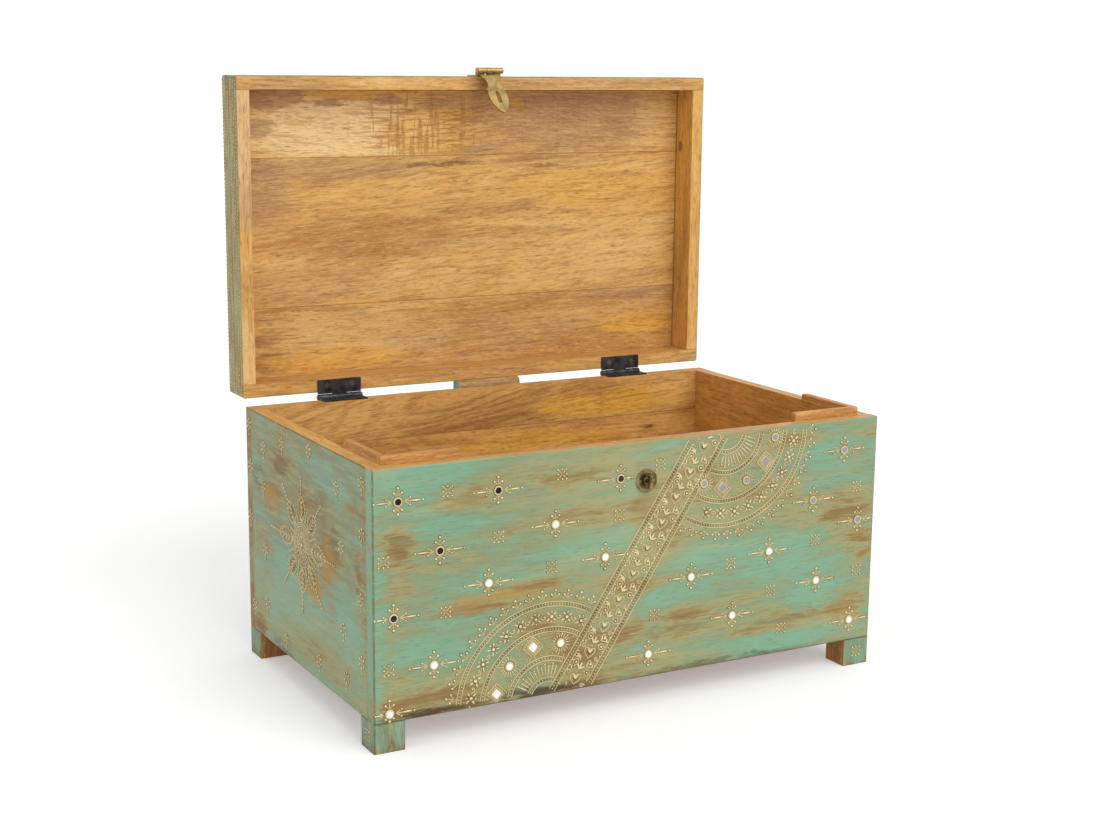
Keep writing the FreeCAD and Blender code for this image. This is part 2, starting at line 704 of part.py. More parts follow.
slot = fuse(
    "leaf_slot",
    leaf_block("slot_straight", SLOT_WIDTH, slot_top, slot_end),
    leaf_rod("slot_top", "0", f"-{slot_top}", f"{SLOT_WIDTH}/2"),
    leaf_rod("slot_end", "0", f"-{slot_end}", f"{SLOT_WIDTH}/2"),
)
leaf_bore = rod(
    "leaf_bore", ("-hasp_knuckle/2", "0", "0"), "+x", "hasp_pin + turning_clearance", "hasp_knuckle",
)
hasp_leaf = cut("hasp_leaf", leaf_blank, slot, leaf_bore)
keep(stand(hasp_leaf, ("latch_offset", HASP_Y, HASP_Z), FreeCAD.Rotation(WAYS["-x"], HASP_LEAN)))

# Turn catch: a dished rosette, and a bar on a pin that the hasp's slot drops over

RIM_THIRD = "rosette_rim/3"
rosette = turned("rosette", (
    ("0", "0"),
    ("rosette_radius", "0"),
    ("rosette_radius", "rosette_dish"),
    (f"rosette_radius - {RIM_THIRD}", "rosette_rim_height"),
    (f"rosette_radius - 2*{RIM_THIRD}", "rosette_rim_height"),
    ("rosette_radius - rosette_rim", "rosette_dish"),
    ("rosette_boss", "rosette_dish"),
    ("(rosette_boss + bar_pin)/2", "rosette_boss_height"),
    ("0", "rosette_boss_height"),
))
put(rosette, ("latch_offset", FRONT, CATCH_Z), "-y")
rosette_bore = rod(
    "rosette_bore", ("latch_offset", FRONT, CATCH_Z), "-y",
    "bar_pin + turning_clearance", "rosette_boss_height",
)
keep(cut("catch_rosette", rosette, rosette_bore, rosette_seats))
bar_blank = block(
    "bar_blank", ("latch_offset - bar_width/2", f"{FRONT} - {CATCH_REACH}", f"{CATCH_Z} - bar_length/2"),
    ("bar_width", "bar_depth", "bar_length"),
)
EVERY_EDGE = [
    f"{one}{first} {two}{second}" for one, two in ("xy", "xz", "yz") for first in "-+" for second in "-+"
]
bar = eased("bar", bar_blank, "bar_round", *EVERY_EDGE)
bar_stem = rod(
    "bar_stem", ("latch_offset", f"{FRONT} + {PIN_DEPTH}", CATCH_Z), "-y",
    "bar_pin", f"{PIN_DEPTH} + {BAR_BACK} + bar_depth/2",
)
keep(fuse("catch_turn", bar, bar_stem))

# Mirror pieces set on the front face


def mirror_places(shares):
    """Points on the front face, from shares of its width and height."""
    return [
        ((f"chest_width*{across}", FRONT, f"foot_height + wall_height*{up}"), "-y")
        for across, up in shares
    ]


round_mirror = disc("round_mirror", "mirror_radius", "mirror_thickness")
diamond_mirror = feature("Part::Prism", "diamond_mirror")
diamond_mirror.Polygon = 4
bind(diamond_mirror, Circumradius="diamond_reach", Height="mirror_thickness")
doc.recompute()
round_places = mirror_places(FLOWER_MIRROR_SHARES + RING_MIRROR_SHARES)
keep(
    copies("round_mirrors", round_mirror, round_places),
    copies("diamond_mirrors", diamond_mirror, mirror_places(DIAMOND_MIRROR_SHARES)),
)

# Check everything, then write one file for each piece

doc.recompute()
for thing in doc.Objects:
    if {"Invalid", "Error"} & set(thing.State):
        raise RuntimeError(f"{thing.Label} failed: {thing.State}")
for piece in PIECES:
    if piece.Shape.isNull() or not piece.Shape.isValid() or piece.Shape.Volume <= 0:
        raise RuntimeError(f"{piece.Label} has no valid solid")
os.makedirs("parts", exist_ok=True)
for piece in PIECES:
    piece.Shape.exportStep(f"parts/{piece.Label}.step")
print(f"{len(PIECES)} pieces, {sum(len(piece.Shape.Solids) for piece in PIECES)} solids")
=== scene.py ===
"""Dress the lift-lid storage chest: rubbed sea-green paint, raised cone work, oiled mango wood and old metal.

Lengths are metres, +Z up, the front towards -Y. Every place on the chest comes from the frame's own boxes. A
place on a flat face is one complex number in millimetres, across + 1j * up, so that turning a motif is one
multiplication.
"""
import math

import bpy
import numpy as np
from mathutils import Matrix, Vector


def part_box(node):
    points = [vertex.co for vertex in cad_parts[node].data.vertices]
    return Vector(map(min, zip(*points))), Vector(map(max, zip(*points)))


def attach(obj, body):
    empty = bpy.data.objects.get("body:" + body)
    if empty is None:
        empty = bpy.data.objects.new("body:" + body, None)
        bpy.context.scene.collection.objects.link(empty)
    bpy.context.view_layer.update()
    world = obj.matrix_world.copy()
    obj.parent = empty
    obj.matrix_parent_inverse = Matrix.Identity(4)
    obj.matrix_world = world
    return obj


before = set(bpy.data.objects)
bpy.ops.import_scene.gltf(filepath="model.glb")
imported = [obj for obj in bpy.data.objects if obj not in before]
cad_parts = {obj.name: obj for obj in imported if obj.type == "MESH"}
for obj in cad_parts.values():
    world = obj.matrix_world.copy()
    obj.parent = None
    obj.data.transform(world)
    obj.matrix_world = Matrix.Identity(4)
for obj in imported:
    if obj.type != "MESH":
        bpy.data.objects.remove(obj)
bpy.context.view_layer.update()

MM = 0.001

# Colours, in linear light

SEA = (0.23, 0.43, 0.28)
TEAL = (0.255, 0.38, 0.23)
SAGE = (0.285, 0.34, 0.18)
STRAW = (0.38, 0.37, 0.175)
PALE_STRAW = (0.46, 0.445, 0.215)
TAN = (0.34, 0.255, 0.095)
OCHRE = (0.54, 0.28, 0.035)
BROWN = (0.28, 0.18, 0.065)
UMBER = (0.16, 0.09, 0.03)
RUST = (0.4, 0.16, 0.03)
SOOT = (0.06, 0.04, 0.02)
PALE_WOOD = (0.97, 0.68, 0.32)
ROSE_WOOD = (0.8, 0.53, 0.28)
CREAM_WOOD = (0.87, 0.555, 0.2)
GOLDEN = (0.8, 0.44, 0.115)
HONEY = (0.72, 0.385, 0.1)
AMBER = (0.8, 0.42, 0.045)
COPPER_WOOD = (0.62, 0.29, 0.075)
HAZEL = (0.52, 0.26, 0.085)
RUSSET = (0.5, 0.23, 0.05)
CHESTNUT = (0.47, 0.2, 0.05)
LILAC_BROWN = (0.46, 0.25, 0.125)
WALNUT = (0.22, 0.09, 0.025)
PASTE = (0.9, 0.76, 0.43)
PASTE_GOLD = (0.62, 0.45, 0.17)
# the dark foot of the paste: a stain of the paint round it, and painted shade under its edge
PASTE_FOOT_STAIN_AND_SHADE = (0.13, 0.083, 0.028)
PASTE_FOOT_STAIN_AND_SHADE_PALE = (0.31, 0.24, 0.095)
BRASS_BRIGHT = (0.52, 0.36, 0.14)
BRASS_DULL = (0.33, 0.22, 0.08)
BRONZE_BRIGHT = (0.52, 0.38, 0.2)
BRONZE_DULL = (0.25, 0.16, 0.075)
BLACK_STEEL = (0.02, 0.021, 0.023)
STEEL_WORN = (0.07, 0.072, 0.075)
STEEL_RUBBED = (0.2, 0.2, 0.2)
STEEL_BRIGHT = (0.6, 0.6, 0.58)
SILVERING = (0.92, 0.93, 0.95)
SILVERING_DIM = (0.74, 0.76, 0.8)
WHITE = (1.0, 1.0, 1.0)

# Ornament on the front: places as shares of its width from the middle, and of its height

FLOWER_MIRRORS = (
    (-0.456, 0.869), (-0.278, 0.868), (-0.383, 0.658), (-0.295, 0.502), (-0.171, 0.703),
    (-0.074, 0.54), (-0.465, 0.415), (-0.394, 0.204), (-0.473, 0.036), (0.101, 0.402),
    (0.19, 0.205), (0.016, 0.097), (0.266, 0.462), (0.373, 0.3), (0.453, 0.095),
    (0.426, 0.867), (0.36, 0.661), (0.463, 0.547),
)
# the flower beside the turn catch has room for one long arm only
CATCH_FLOWER = (-0.046, 0.857)
RING_MIRRORS = ((-0.159, 0.209), (-0.256, 0.146), (0.271, 0.957), (0.212, 0.786), (0.123, 0.794))
DIAMOND_MIRRORS = ((-0.212, 0.21), (-0.28, 0.041), (0.252, 0.858), (0.162, 0.767))
SMALL_FLOWERS = (
    (-0.369, 0.889), (-0.482, 0.64), (-0.277, 0.682), (-0.373, 0.41), (-0.474, 0.212), (-0.177, 0.529),
    (-0.159, 0.903), (-0.047, 0.707), (0.033, 0.896), (0.184, 0.434), (0.027, 0.263), (0.458, 0.698),
    (0.368, 0.484), (0.465, 0.318), (0.272, 0.287), (0.298, 0.11),
)
# the slanting band's two edges, and the rings of the half suns on their ends, in millimetres
BAND_LEFT = ((-0.185, -0.018), (0.099, 0.995))
BAND_RIGHT = ((-0.103, 0.016), (0.17, 1.0))
SUN_RINGS = (28, 57.5, 98, 133)

# Ornament on the sides: shares of the depth towards the front from the middle, and of the height

SIDE_FLOWERS = (
    (-0.47, 0.93), (-0.34, 0.86), (-0.18, 0.92), (0.04, 0.95), (0.25, 0.86), (0.43, 0.93), (0.43, 0.73),
    (-0.35, 0.69), (-0.46, 0.75), (-0.47, 0.52), (-0.34, 0.41), (-0.33, 0.17), (-0.45, 0.12), (0.42, 0.47),
    (0.29, 0.3), (0.42, 0.22), (0.31, 0.11), (0.1, 0.09), (-0.17, 0.07), (0.28, 0.63),
)
SIDE_SUN = (-0.025, 0.535)
# how far its rays reach, in millimetres: upright, slanting, level and slanting again
SIDE_RAYS = (100, 104, 122, 104)


# Raised cone work

class Face:
    """One upright side of a box, such as x- or y+: its places count from the middle of its lower edge."""

    ACROSS = {"y-": (1.0, 0, 0), "y+": (-1.0, 0, 0), "x-": (0, -1.0, 0), "x+": (0, 1.0, 0)}

    def __init__(self, box, side):
        low, high = box
        axis = "xyz".index(side[0])
        self.foot = (low + high) / 2
        self.foot[axis] = (low if side[1] == "-" else high)[axis]
        self.foot[2] = low[2]
        self.across = np.array(self.ACROSS[side])
        self.up = np.array((0, 0, 1.0))
        self.out = np.cross(self.across, self.up)
        self.width = (high - low)[1 - axis] / MM
        self.height = (high - low)[2] / MM

    def place(self, spot, lift):
        """Points in space: foot + across * real part + up * imaginary part + out * lift."""
        spot, lift = spot[..., None], lift[..., None]
        return self.foot + MM * (spot.real * self.across + spot.imag * self.up + lift * self.out)

    def at(self, share):
        """A share of the width and of the height, as a place on this face."""
        return share[0] * self.width + 1j * share[1] * self.height


class ConePen:
    """Paste squeezed on to a face, gathered as drops and strokes until it is made a mesh."""

    # a stroke's section from one darkened border over the crest to the other, as shares of its half width;
    # the border is partly a stain round the paste and partly painted shade at its foot
    ACROSS = np.array((-1.55, -1.0, -0.62, 0.0, 0.62, 1.0, 1.55))
    RISE = np.array((0.0, 0.1, 0.72, 1.0, 0.72, 0.1, 0.0))
    # swelling of a petal from its root to its tip
    PETAL_ALONG = np.array((0.0, 0.2, 0.55, 0.85, 1.0))
    PETAL_SWELL = np.array((0.35, 0.8, 1.0, 0.7, 0.15))
    # radius and height shares of a drop's rings, from its darkened border inwards, partly a stain and partly
    # painted shade
    DROP_RINGS = ((1.5, 0.0), (1.0, 0.12), (0.72, 0.66))
    DROP_SIDES = 8
    DROP_HEIGHT = 0.8
    SINK = 0.02

    def __init__(self, face):
        self.face = face
        self.drops = []
        self.strokes = []

    def fits(self, spots, reach):
        """True where the spots, and a reach round them, lie on the face."""
        across, up = np.abs(np.real(spots)) + reach, np.imag(spots)
        return np.all((across < self.face.width / 2) & (up > reach) & (up + reach < self.face.height))

    def dot(self, spot, radius):
        """A round drop of paste."""
        if self.fits(spot, radius):
            self.drops.append((spot, radius))

    def line(self, spots, half, rise=0.9, tone=0.5):
        """A squeezed line through the spots; rise is its height as a share of its half width."""
        if self.fits(spots, np.max(half)):
            self.strokes.append((np.asarray(spots), half * np.ones(len(spots)), rise, tone))

    def petal(self, root, tip, half, tone=0.8):
        """A tapering stroke, drawn from root to tip and at its widest half as wide as given."""
        self.line(root + (tip - root) * self.PETAL_ALONG, half * self.PETAL_SWELL, tone=tone)

    def ring(self, spot, radius, half, rise=0.9, sides=20, tone=0.5):
        """A closed round line."""
        self.line(spot + radius * turns(sides, closed=True), half, rise, tone)

    def beads(self, spots, gap, radius):
        """Dots a steady gap apart along a line."""
        for spot in spaced(spots, gap):
            self.dot(spot, radius)

    def cord(self, spots, spread):
        """Two fine lines, one spread to each side of the spots, with a bead chain on a dark bed between."""
        spots = np.asarray(spots)
        aside = 1j * heading(spots) * spread
        self.line(spots, spread * 0.3, rise=0.1, tone=0.0)
        for line in (spots + aside, spots - aside):
            self.line(line, 0.7)
        self.beads(spots, 4.4, 0.95)

    def mesh(self):
        """All the paste: vertices, faces, and two weights a vertex for how high it is and how pale."""
        lots = [self.drop_mesh(), *(self.stroke_mesh(*stroke) for stroke in self.strokes)]
        starts = np.cumsum([0] + [len(lot[0]) for lot in lots])
        faces = [
            face for lot, start in zip(lots, starts) for part in lot[1] for face in (part + start).tolist()
        ]
        points, lift, pale = (np.concatenate([lot[number] for lot in lots]) for number in (0, 2, 3))
        return points, faces, lift, pale

    def drop_mesh(self):
        """Low domes: rings of a shrinking radius and a growing height about each spot, closed by a crown."""
        spots = np.array([spot for spot, _ in self.drops])[:, None]
        radii = np.array([radius for _, radius in self.drops])[:, None]
        sides, rings = self.DROP_SIDES, self.DROP_RINGS
        spread = [spots + radii * share * turns(sides) for share, _ in rings]
        spread = np.concatenate([*spread, spots], axis=1)
        heights = np.concatenate([*(np.full(sides, rise) for _, rise in rings), [1.0]])
        high = np.tile(heights, (len(spots), 1))
        points = self.face.place(spread, high * radii * self.DROP_HEIGHT - (high == 0) * self.SINK)
        ring, after = np.arange(sides), (np.arange(sides) + 1) % sides
        walls = [np.stack([low + ring, low + after, low + sides + after, low + sides + ring], -1)
                 for low in range(0, sides * (len(rings) - 1), sides)]
        top = sides * (len(rings) - 1)
        crown = np.stack([top + ring, top + after, np.full(sides, top + sides)], -1)
        first = np.arange(len(spots))[:, None, None] * high.shape[1]
        faces = [(first + part).reshape(-1, part.shape[1])
                 for part in (ring[None, ::-1], np.concatenate(walls), crown)]
        return points.reshape(-1, 3), faces, high.reshape(-1), np.ones(high.size)

    def stroke_mesh(self, path, half, rise, tone):
        """One stroke: the section carried along its path, square to its heading; a ring closes on itself."""
        closed = abs(path[0] - path[-1]) < self.SINK
        if closed:
            path, half = path[:-1], half[:-1]
        aside = 1j * heading(path, closed) * half
        spread = path[:, None] - aside[:, None] * self.ACROSS
        high = np.broadcast_to(self.RISE, spread.shape)
        points = self.face.place(spread, high * half[:, None] * rise - (high == 0) * self.SINK)
        rows, around = spread.shape
        row, spot = np.meshgrid(np.arange(rows if closed else rows - 1), np.arange(around), indexing="ij")
        later, after = (row + 1) % rows * around, (spot + 1) % around
        quads = np.stack([row * around + spot, row * around + after, later + after, later + spot], -1)
        faces = [quads.reshape(-1, 4)]
        if not closed:
            faces.append(np.stack([np.arange(around)[::-1], (rows - 1) * around + np.arange(around)]))
        return points.reshape(-1, 3), faces, high.reshape(-1) * (tone > 0), np.full(high.size, tone)


def heading(spots, closed=False):
    """Unit direction of a path at each of its spots."""
    slope = np.roll(spots, -1) - np.roll(spots, 1) if closed else np.gradient(spots)
    return slope / np.abs(slope)


def turns(count, closed=False):
    """Unit ways a steady turn apart all the way round; a closed row ends where it began."""
    return np.exp(2j * np.pi * np.arange(count + closed) / count)


def spaced(spots, gap):
    """Spots a steady gap apart along a path, half a gap in from its ends."""
    spots = np.asarray(spots)
    run = np.concatenate([[0], np.cumsum(np.abs(np.diff(spots)))])
    count = max(int(run[-1] / gap), 1)
    stops = (np.arange(count) + 0.5) * run[-1] / count
    return np.interp(stops, run, spots.real) + 1j * np.interp(stops, run, spots.imag)


# Motifs

def trefoil(pen, spot, way, reach):
    """Three drops on stems that part at the spot's side, the middle drop furthest out."""
    pen.petal(spot + 0.42 * reach * way, spot + 0.86 * reach * way, 0.85, tone=0.3)
    pen.dot(spot + reach * way, 1.95)
    for lean in (-1, 1):
        end = spot + (0.66 * reach + 5.6j * lean) * way
        pen.petal(spot + 0.4 * reach * way, end, 0.75, tone=0.3)
        pen.dot(end, 1.75)


def barbed_arm(pen, spot, way, room):
    """A dart with two barbs and an end drop, drawn shorter where the room for it is short."""
    start, length, border = 9, 26, 2
    root = spot + start * way
    way = way * min(1.0, (room - start - border) / length)
    for lean in (-1, 1):
        pen.petal(root, root + (6.5 + 3.8j * lean) * way, 0.95, tone=0.4)
        pen.dot(root + (8 + 4.7j * lean) * way, 1.35)
    pen.petal(root + 2 * way, root + 10 * way, 0.85, tone=0.4)
    pen.petal(root + 9 * way, root + 22.5 * way, 1.5)
    pen.dot(root + length * way, 1.6)


def bezel(pen, spot):
    """A ring of paste that laps over a round mirror's edge."""
    pen.ring(spot, 5.3, 1.35, rise=1.25)


def mirror_flower(pen, spot, room_right=math.inf):
    """A ringed mirror with a trefoil above and below and a barbed arm on each side, kept inside the face."""
    half = pen.face.width / 2
    bezel(pen, spot)
    trefoil(pen, spot, 1j, 18)
    trefoil(pen, spot, -1j, min(16, spot.imag - 2.5))
    barbed_arm(pen, spot, -1, half + spot.real)
    barbed_arm(pen, spot, 1, min(half - spot.real, room_right))


def small_flower(pen, spot, size=1.0, turn=np.pi / 4):
    """Four crossed darts with a drop between each pair and at each tip."""
    for way in turns(4) * np.exp(1j * turn) * size:
        pen.petal(spot + 1.2 * way, spot + 8 * way, 0.95 * size, tone=0.15)
        pen.dot(spot + 9.2 * way, 1.45 * size)
        pen.dot(spot + 6.6 * way * np.exp(0.25j * np.pi), 1.4 * size)


def pearl_flower(pen, spot):
    """Six drops round gold strokes, and one more hanging below them."""
    for way in turns(6) * 1j:
        pen.petal(spot + 1.5 * way, spot + 5.5 * way, 1.2, tone=0.15)
        pen.dot(spot + 7.6 * way, 1.8)
    pen.petal(spot - 9j, spot - 13.5j, 1.0, tone=0.15)
    pen.dot(spot - 15j, 1.5)


def rayed_mirror(pen, spot):
    """A ringed mirror inside a wheel of short strokes."""
    bezel(pen, spot)
    for way in turns(18):
        pen.petal(spot + 8 * way, spot + 12.5 * way, 0.75)
        pen.dot(spot + 13.6 * way, 0.9)


def framed_diamond(pen, spot):
    """A diamond mirror inside three outlines, with beads between the outer two."""
    corners = np.array((1, 1j, -1, -1j, 1))
    for first, last in zip(corners[:-1], corners[1:]):
        side = np.linspace(first, last, 6)
        for reach in (7.6, 10.2, 15):
            pen.line(spot + reach * side, 0.75, rise=1.5)
        pen.beads(spot + 12.6 * side, 3.2, 0.8)


def heart(pen, spot, way, size):
    """An outlined heart on the curve sin(t)^3, (13 cos t - 5 cos 2t - 2 cos 3t) / 16, with a bud inside."""
    turn = np.linspace(0, 2 * np.pi, 25)
    across = np.sin(turn) ** 3
    up = (13 * np.cos(turn) - 5 * np.cos(2 * turn) - 2 * np.cos(3 * turn)) / 16
    pen.line(spot + (up + 1j * across) * way * size, 0.75)
    pen.dot(spot + 0.12 * way * size, 0.3 * size)
    for lean in (-1, 1):
        pen.petal(spot, spot + (0.55 + 0.42j * lean) * way * size, 0.19 * size)


def ringed_dot(pen, spot, radius):
    """A drop inside a small ring."""
    pen.ring(spot, radius, 0.65, sides=12)
    pen.dot(spot, 0.42 * radius)


def leaf_pair(pen, spot, way, size):
    """Two leaves and a bud springing from one point."""
    for lean in (-1, 1):
        pen.petal(spot, spot + (0.8 + 0.75j * lean) * way * size, 0.2 * size)
        pen.dot(spot + (0.1 + 1.05j * lean) * way * size, 0.13 * size)
    pen.petal(spot + 0.2 * way * size, spot + 1.15 * way * size, 0.22 * size)


def pearl(pen, spot, way):
    """A big drop with four comma leaves, and a curl running on along the row."""
    pen.dot(spot, 2.7)
    for lean in (-1, 1):
        pen.petal(spot + (2.8 + 2.4j * lean) * way, spot + (7.5 + 6.5j * lean) * way, 1.5)
        pen.petal(spot + (-2.8 + 2.4j * lean) * way, spot + (-7 + 6j * lean) * way, 1.4)
        pen.dot(spot + (0.2 + 7j * lean) * way, 1.5)
    curl = np.exp(1j * np.linspace(-0.2, 3.8, 10)) * np.linspace(4.8, 2.0, 10)
    pen.line(spot + (12 + curl) * way, 0.75)
    pen.dot(spot + 11.6 * way, 1.2)


# Layout of each face

EDGE = 4
BAND_SPREAD = 4.4
RING_SPREAD = 3.1


def beyond(spots, edge, face):
    """How far spots lie to the right of a slanting edge that runs upwards."""
    low, high = (face.at(end) for end in edge)
    way = (high - low) / abs(high - low)
    return -((spots - low) / way).imag


def ways_round(radius, step, start=0.0):
    """Ways outward from a hub, a steady step apart on the circle of a radius."""
    return np.exp(1j * np.arange(start, 2 * np.pi, step / radius))


def half_sun(pen, hub, keep):
    """Corded rings round a hub, with rays, mirrors, a scroll and a fringe, where keep allows them."""
    inner, rayed, mirrored, outer = SUN_RINGS
    for radius in SUN_RINGS:
        arc = hub + radius * turns(240)
        shown = keep(arc, 1.5)
        first = int(np.argmax(shown & ~np.roll(shown, 1)))
        pen.cord(np.roll(arc, -first)[np.roll(shown, -first)], RING_SPREAD)
    for number, way in enumerate(ways_round(rayed, 7.2)):
        if keep(hub + np.array((inner, rayed)) * way, 3).all():
            tip = rayed - (8 if number % 2 else 11)
            pen.petal(hub + (inner + 5) * way, hub + tip * way, 0.95)
            pen.dot(hub + tip * way, 1.35)
    row = (mirrored + outer) / 2
    for way in ways_round(row, 24, 0.06):
        if keep(hub + row * way, 9):
            pearl(pen, hub + row * way, 1j * way)
    for way in ways_round(outer, 18):
        if keep(hub + (outer + 6) * way, 4):
            trefoil(pen, hub + (outer + 1) * way, way, 18)
    for radius in (rayed + 6.5, mirrored - 6.5):
        for way in ways_round(radius, 9, 0.03):
            if keep(hub + radius * way, 6):
                pen.dot(hub + radius * way, 1.0)


def band_filling(pen, face):
    """Hearts up the slanting band, with smaller hearts, ringed dots, leaf pairs and beads between them."""
    low = (face.at(BAND_LEFT[0]) + face.at(BAND_RIGHT[0])) / 2
    high = (face.at(BAND_LEFT[1]) + face.at(BAND_RIGHT[1])) / 2
    way = (high - low) / abs(high - low)
    period = 39
    # places along the band as shares of the period, places across it, and then a ring's radius
    rings = ((0.36, -12.5, 4.2), (0.52, 11.5, 4.2), (0.12, 14, 2.6), (-0.1, -14.5, 2.4))
    buds = ((-0.28, 10), (-0.36, -6), (0.3, 15.5), (0.66, -14.5))
    for spot in spaced(np.array((low, high)), period):
        heart(pen, spot, way * np.exp(0.3j), 8.6)
        for along, aside, radius in rings:
            ringed_dot(pen, spot + (along * period + 1j * aside) * way, radius)
        leaf_pair(pen, spot + (0.34 * period + 2j) * way, way, 8.5)
        heart(pen, spot + (0.66 * period - 10j) * way, way * np.exp(-0.6j), 5.4)
        leaf_pair(pen, spot + (0.8 * period + 11j) * way, way * np.exp(2.4j), 6.5)
        for along, aside in buds:
            tip = spot + (along * period + 1j * aside) * way
            pen.petal(tip - 4.5j, tip + 2 * way, 1.2)
    for aside in (-18j, 18j):
        pen.beads(np.array((low, high)) + aside * way, 7.2, 1.15)


def front_flowers(face):
    """The front's scattered mirror flowers and small flowers."""
    pen = ConePen(face)
    for share in FLOWER_MIRRORS:
        mirror_flower(pen, face.at(share))
    mirror_flower(pen, face.at(CATCH_FLOWER), room_right=20)
    for share in SMALL_FLOWERS:
        small_flower(pen, face.at(share))
    return pen


def front_band(face):
    """The front's slanting band, and the two half suns on its ends with their mirrors."""
    pen = ConePen(face)
    for edge in (BAND_LEFT, BAND_RIGHT):
        run = np.linspace(face.at(edge[0]), face.at(edge[1]), 60)
        pen.cord(run[(run.imag > EDGE) & (run.imag < face.height - EDGE)], BAND_SPREAD)
    band_filling(pen, face)

    def inside(spots, margin):
        """True where spots lie off the upper and lower edge."""
        return (spots.imag > EDGE + margin / 2) & (spots.imag < face.height - EDGE - margin / 2)

    def left_of_band(spots, margin):
        """True where spots lie a margin to the left of the band."""
        return inside(spots, margin) & (beyond(spots, BAND_LEFT, face) < -margin - BAND_SPREAD)

    def right_of_band(spots, margin):
        """True where spots lie a margin to the right of the band."""
        return inside(spots, margin) & (beyond(spots, BAND_RIGHT, face) > margin + BAND_SPREAD)

    half_sun(pen, face.at(BAND_LEFT[0]), left_of_band)
    half_sun(pen, face.at(BAND_RIGHT[1]), right_of_band)
    for share in RING_MIRRORS:
        rayed_mirror(pen, face.at(share))
    for share in DIAMOND_MIRRORS:
        framed_diamond(pen, face.at(share))
    return pen


def side_sun(pen, hub):
    """A beaded boss with eight rays, each an outlined leaf of gold strokes that ends in a row of drops."""
    pen.dot(hub, 3)
    for radius, half in ((7.5, 4), (21.5, 6.5)):
        pen.ring(hub, radius, half, rise=0.03, sides=32, tone=0.0)
    for radius, count in ((6, 8), (19, 20)):
        for way in turns(count):
            pen.petal(hub + radius * way, hub + (radius + 6) * way, 1.4, tone=0.2)
    for radius in (14.5, 29):
        pen.cord(hub + radius * turns(48, closed=True), 2.6)
    leaf = np.linspace(0, 1, 13)
    for number, way in enumerate(turns(8) * 1j):
        reach = SIDE_RAYS[number % len(SIDE_RAYS)]
        root, tip = 33, 0.7 * reach
        bed = hub + (root + (tip - root) * leaf) * way
        pen.line(bed, 1.5 + 6 * np.sin(np.pi * leaf), rise=0.02, tone=0.0)
        for lean in (-1, 1):
            side = root + (tip - root) * leaf + 12j * lean * np.sin(np.pi * leaf)
            pen.line(hub + side * way, 0.8, tone=0.2)
            pen.beads(hub + (side + 2.6j * lean) * way, 5.4, 1.25)
            for stop in (0.05, 0.25, 0.45, 0.65):
                spot = hub + (root + (tip - root) * stop) * way
                pen.petal(spot, spot + (8 + 5.5j * lean) * way, 1.4, tone=0.1)
        pen.beads(hub + np.array((root, tip)) * way, 5.4, 1.2)
        pen.beads(hub + np.array((tip, reach)) * way, 5.4, 1.75)
        between_rays = way * np.exp(0.125j * np.pi)
        pen.petal(hub + root * between_rays, hub + 46 * between_rays, 2.0, tone=0.1)
        pen.dot(hub + 50 * between_rays, 1.7)
        pen.dot(hub + 55 * between_rays, 1.3)


def side_work(face):
    """A side: one sun, and pearl flowers towards the edges."""
    pen = ConePen(face)
    side_sun(pen, face.at(SIDE_SUN))
    for share in SIDE_FLOWERS:
        pearl_flower(pen, face.at(share))
    return pen


def rim_work(face):
    """The lid's narrow side: corded lines along it, with rows of dashes and beads between them."""
    pen = ConePen(face)
    ends = 1j * np.array((EDGE, face.height - EDGE))
    for share in (-0.3, 0.14):
        pen.cord(np.linspace(*(share * face.width + ends), 40), RING_SPREAD)
    for share in (-0.45, 0.45):
        pen.beads(share * face.width + ends, 6, 1.2)
    for share in (-0.08, 0.31):
        for number, spot in enumerate(spaced(share * face.width + ends, 8.5)):
            if number % 3:
                pen.petal(spot - 3.6j, spot + 3.6j, 1.3, tone=0.15)
            else:
                pen.dot(spot, 1.4)
    return pen


def lid_work(face):
    """The lid's top: a corded border and rows of small flowers inside it."""
    pen = ConePen(face)
    inset = 26
    across, up = face.width / 2 - inset, face.height - inset
    corners = np.array((-across + 1j * inset, across + 1j * inset, across + 1j * up, -across + 1j * up))
    for first, last in zip(corners, np.roll(corners, -1)):
        pen.cord(np.linspace(first, last, 50), BAND_SPREAD)
    for number, height in enumerate((0.2, 0.4, 0.6, 0.8)):
        for column in np.linspace(-0.4, 0.4, 7) + (0.033 if number % 2 else -0.033):
            small_flower(pen, face.at((column, height)), size=1.2)
    return pen


def foot_flower(face):
    """One small flower in the middle of a foot's outer face."""
    pen = ConePen(face)
    small_flower(pen, face.at((0, 0.52)))
    return pen


# Meshes

def in_scene(name, data):
    """A new object at the origin, put in the scene."""
    obj = bpy.data.objects.new(name, data)
    bpy.context.scene.collection.objects.link(obj)
    return obj


def piece(name, verts, faces, material, weights=()):
    """A new object at the origin with its place in its mesh, and named weights on its vertices."""
    mesh = bpy.data.meshes.new(name)
    mesh.from_pydata(verts.tolist(), [], faces)
    for label, numbers in weights:
        layer = mesh.attributes.new(label, "FLOAT", "POINT")
        layer.data.foreach_set("value", np.ascontiguousarray(numbers, np.float32))
    mesh.polygons.foreach_set("use_smooth", np.ones(len(mesh.polygons), bool))
    mesh.materials.append(material)
    mesh.update()
    return in_scene(name, mesh)


# Shader helpers

def feed(tree, node, values):
    """Give a node its inputs: other nodes' outputs are linked, and numbers, vectors and colours are set."""
    for key, given in values.items():
        socket = node.inputs[key]
        if isinstance(given, bpy.types.NodeSocket):
            tree.links.new(given, socket)
        else:
            socket.default_value = (*given, 1) if socket.type == "RGBA" else given


def add(tree, kind, values=None, **settings):
    """A new node with its settings and its inputs."""
    node = tree.nodes.new(f"ShaderNode{kind}")
    for name, setting in settings.items():
        setattr(node, name, setting)
    feed(tree, node, values or {})
    return node


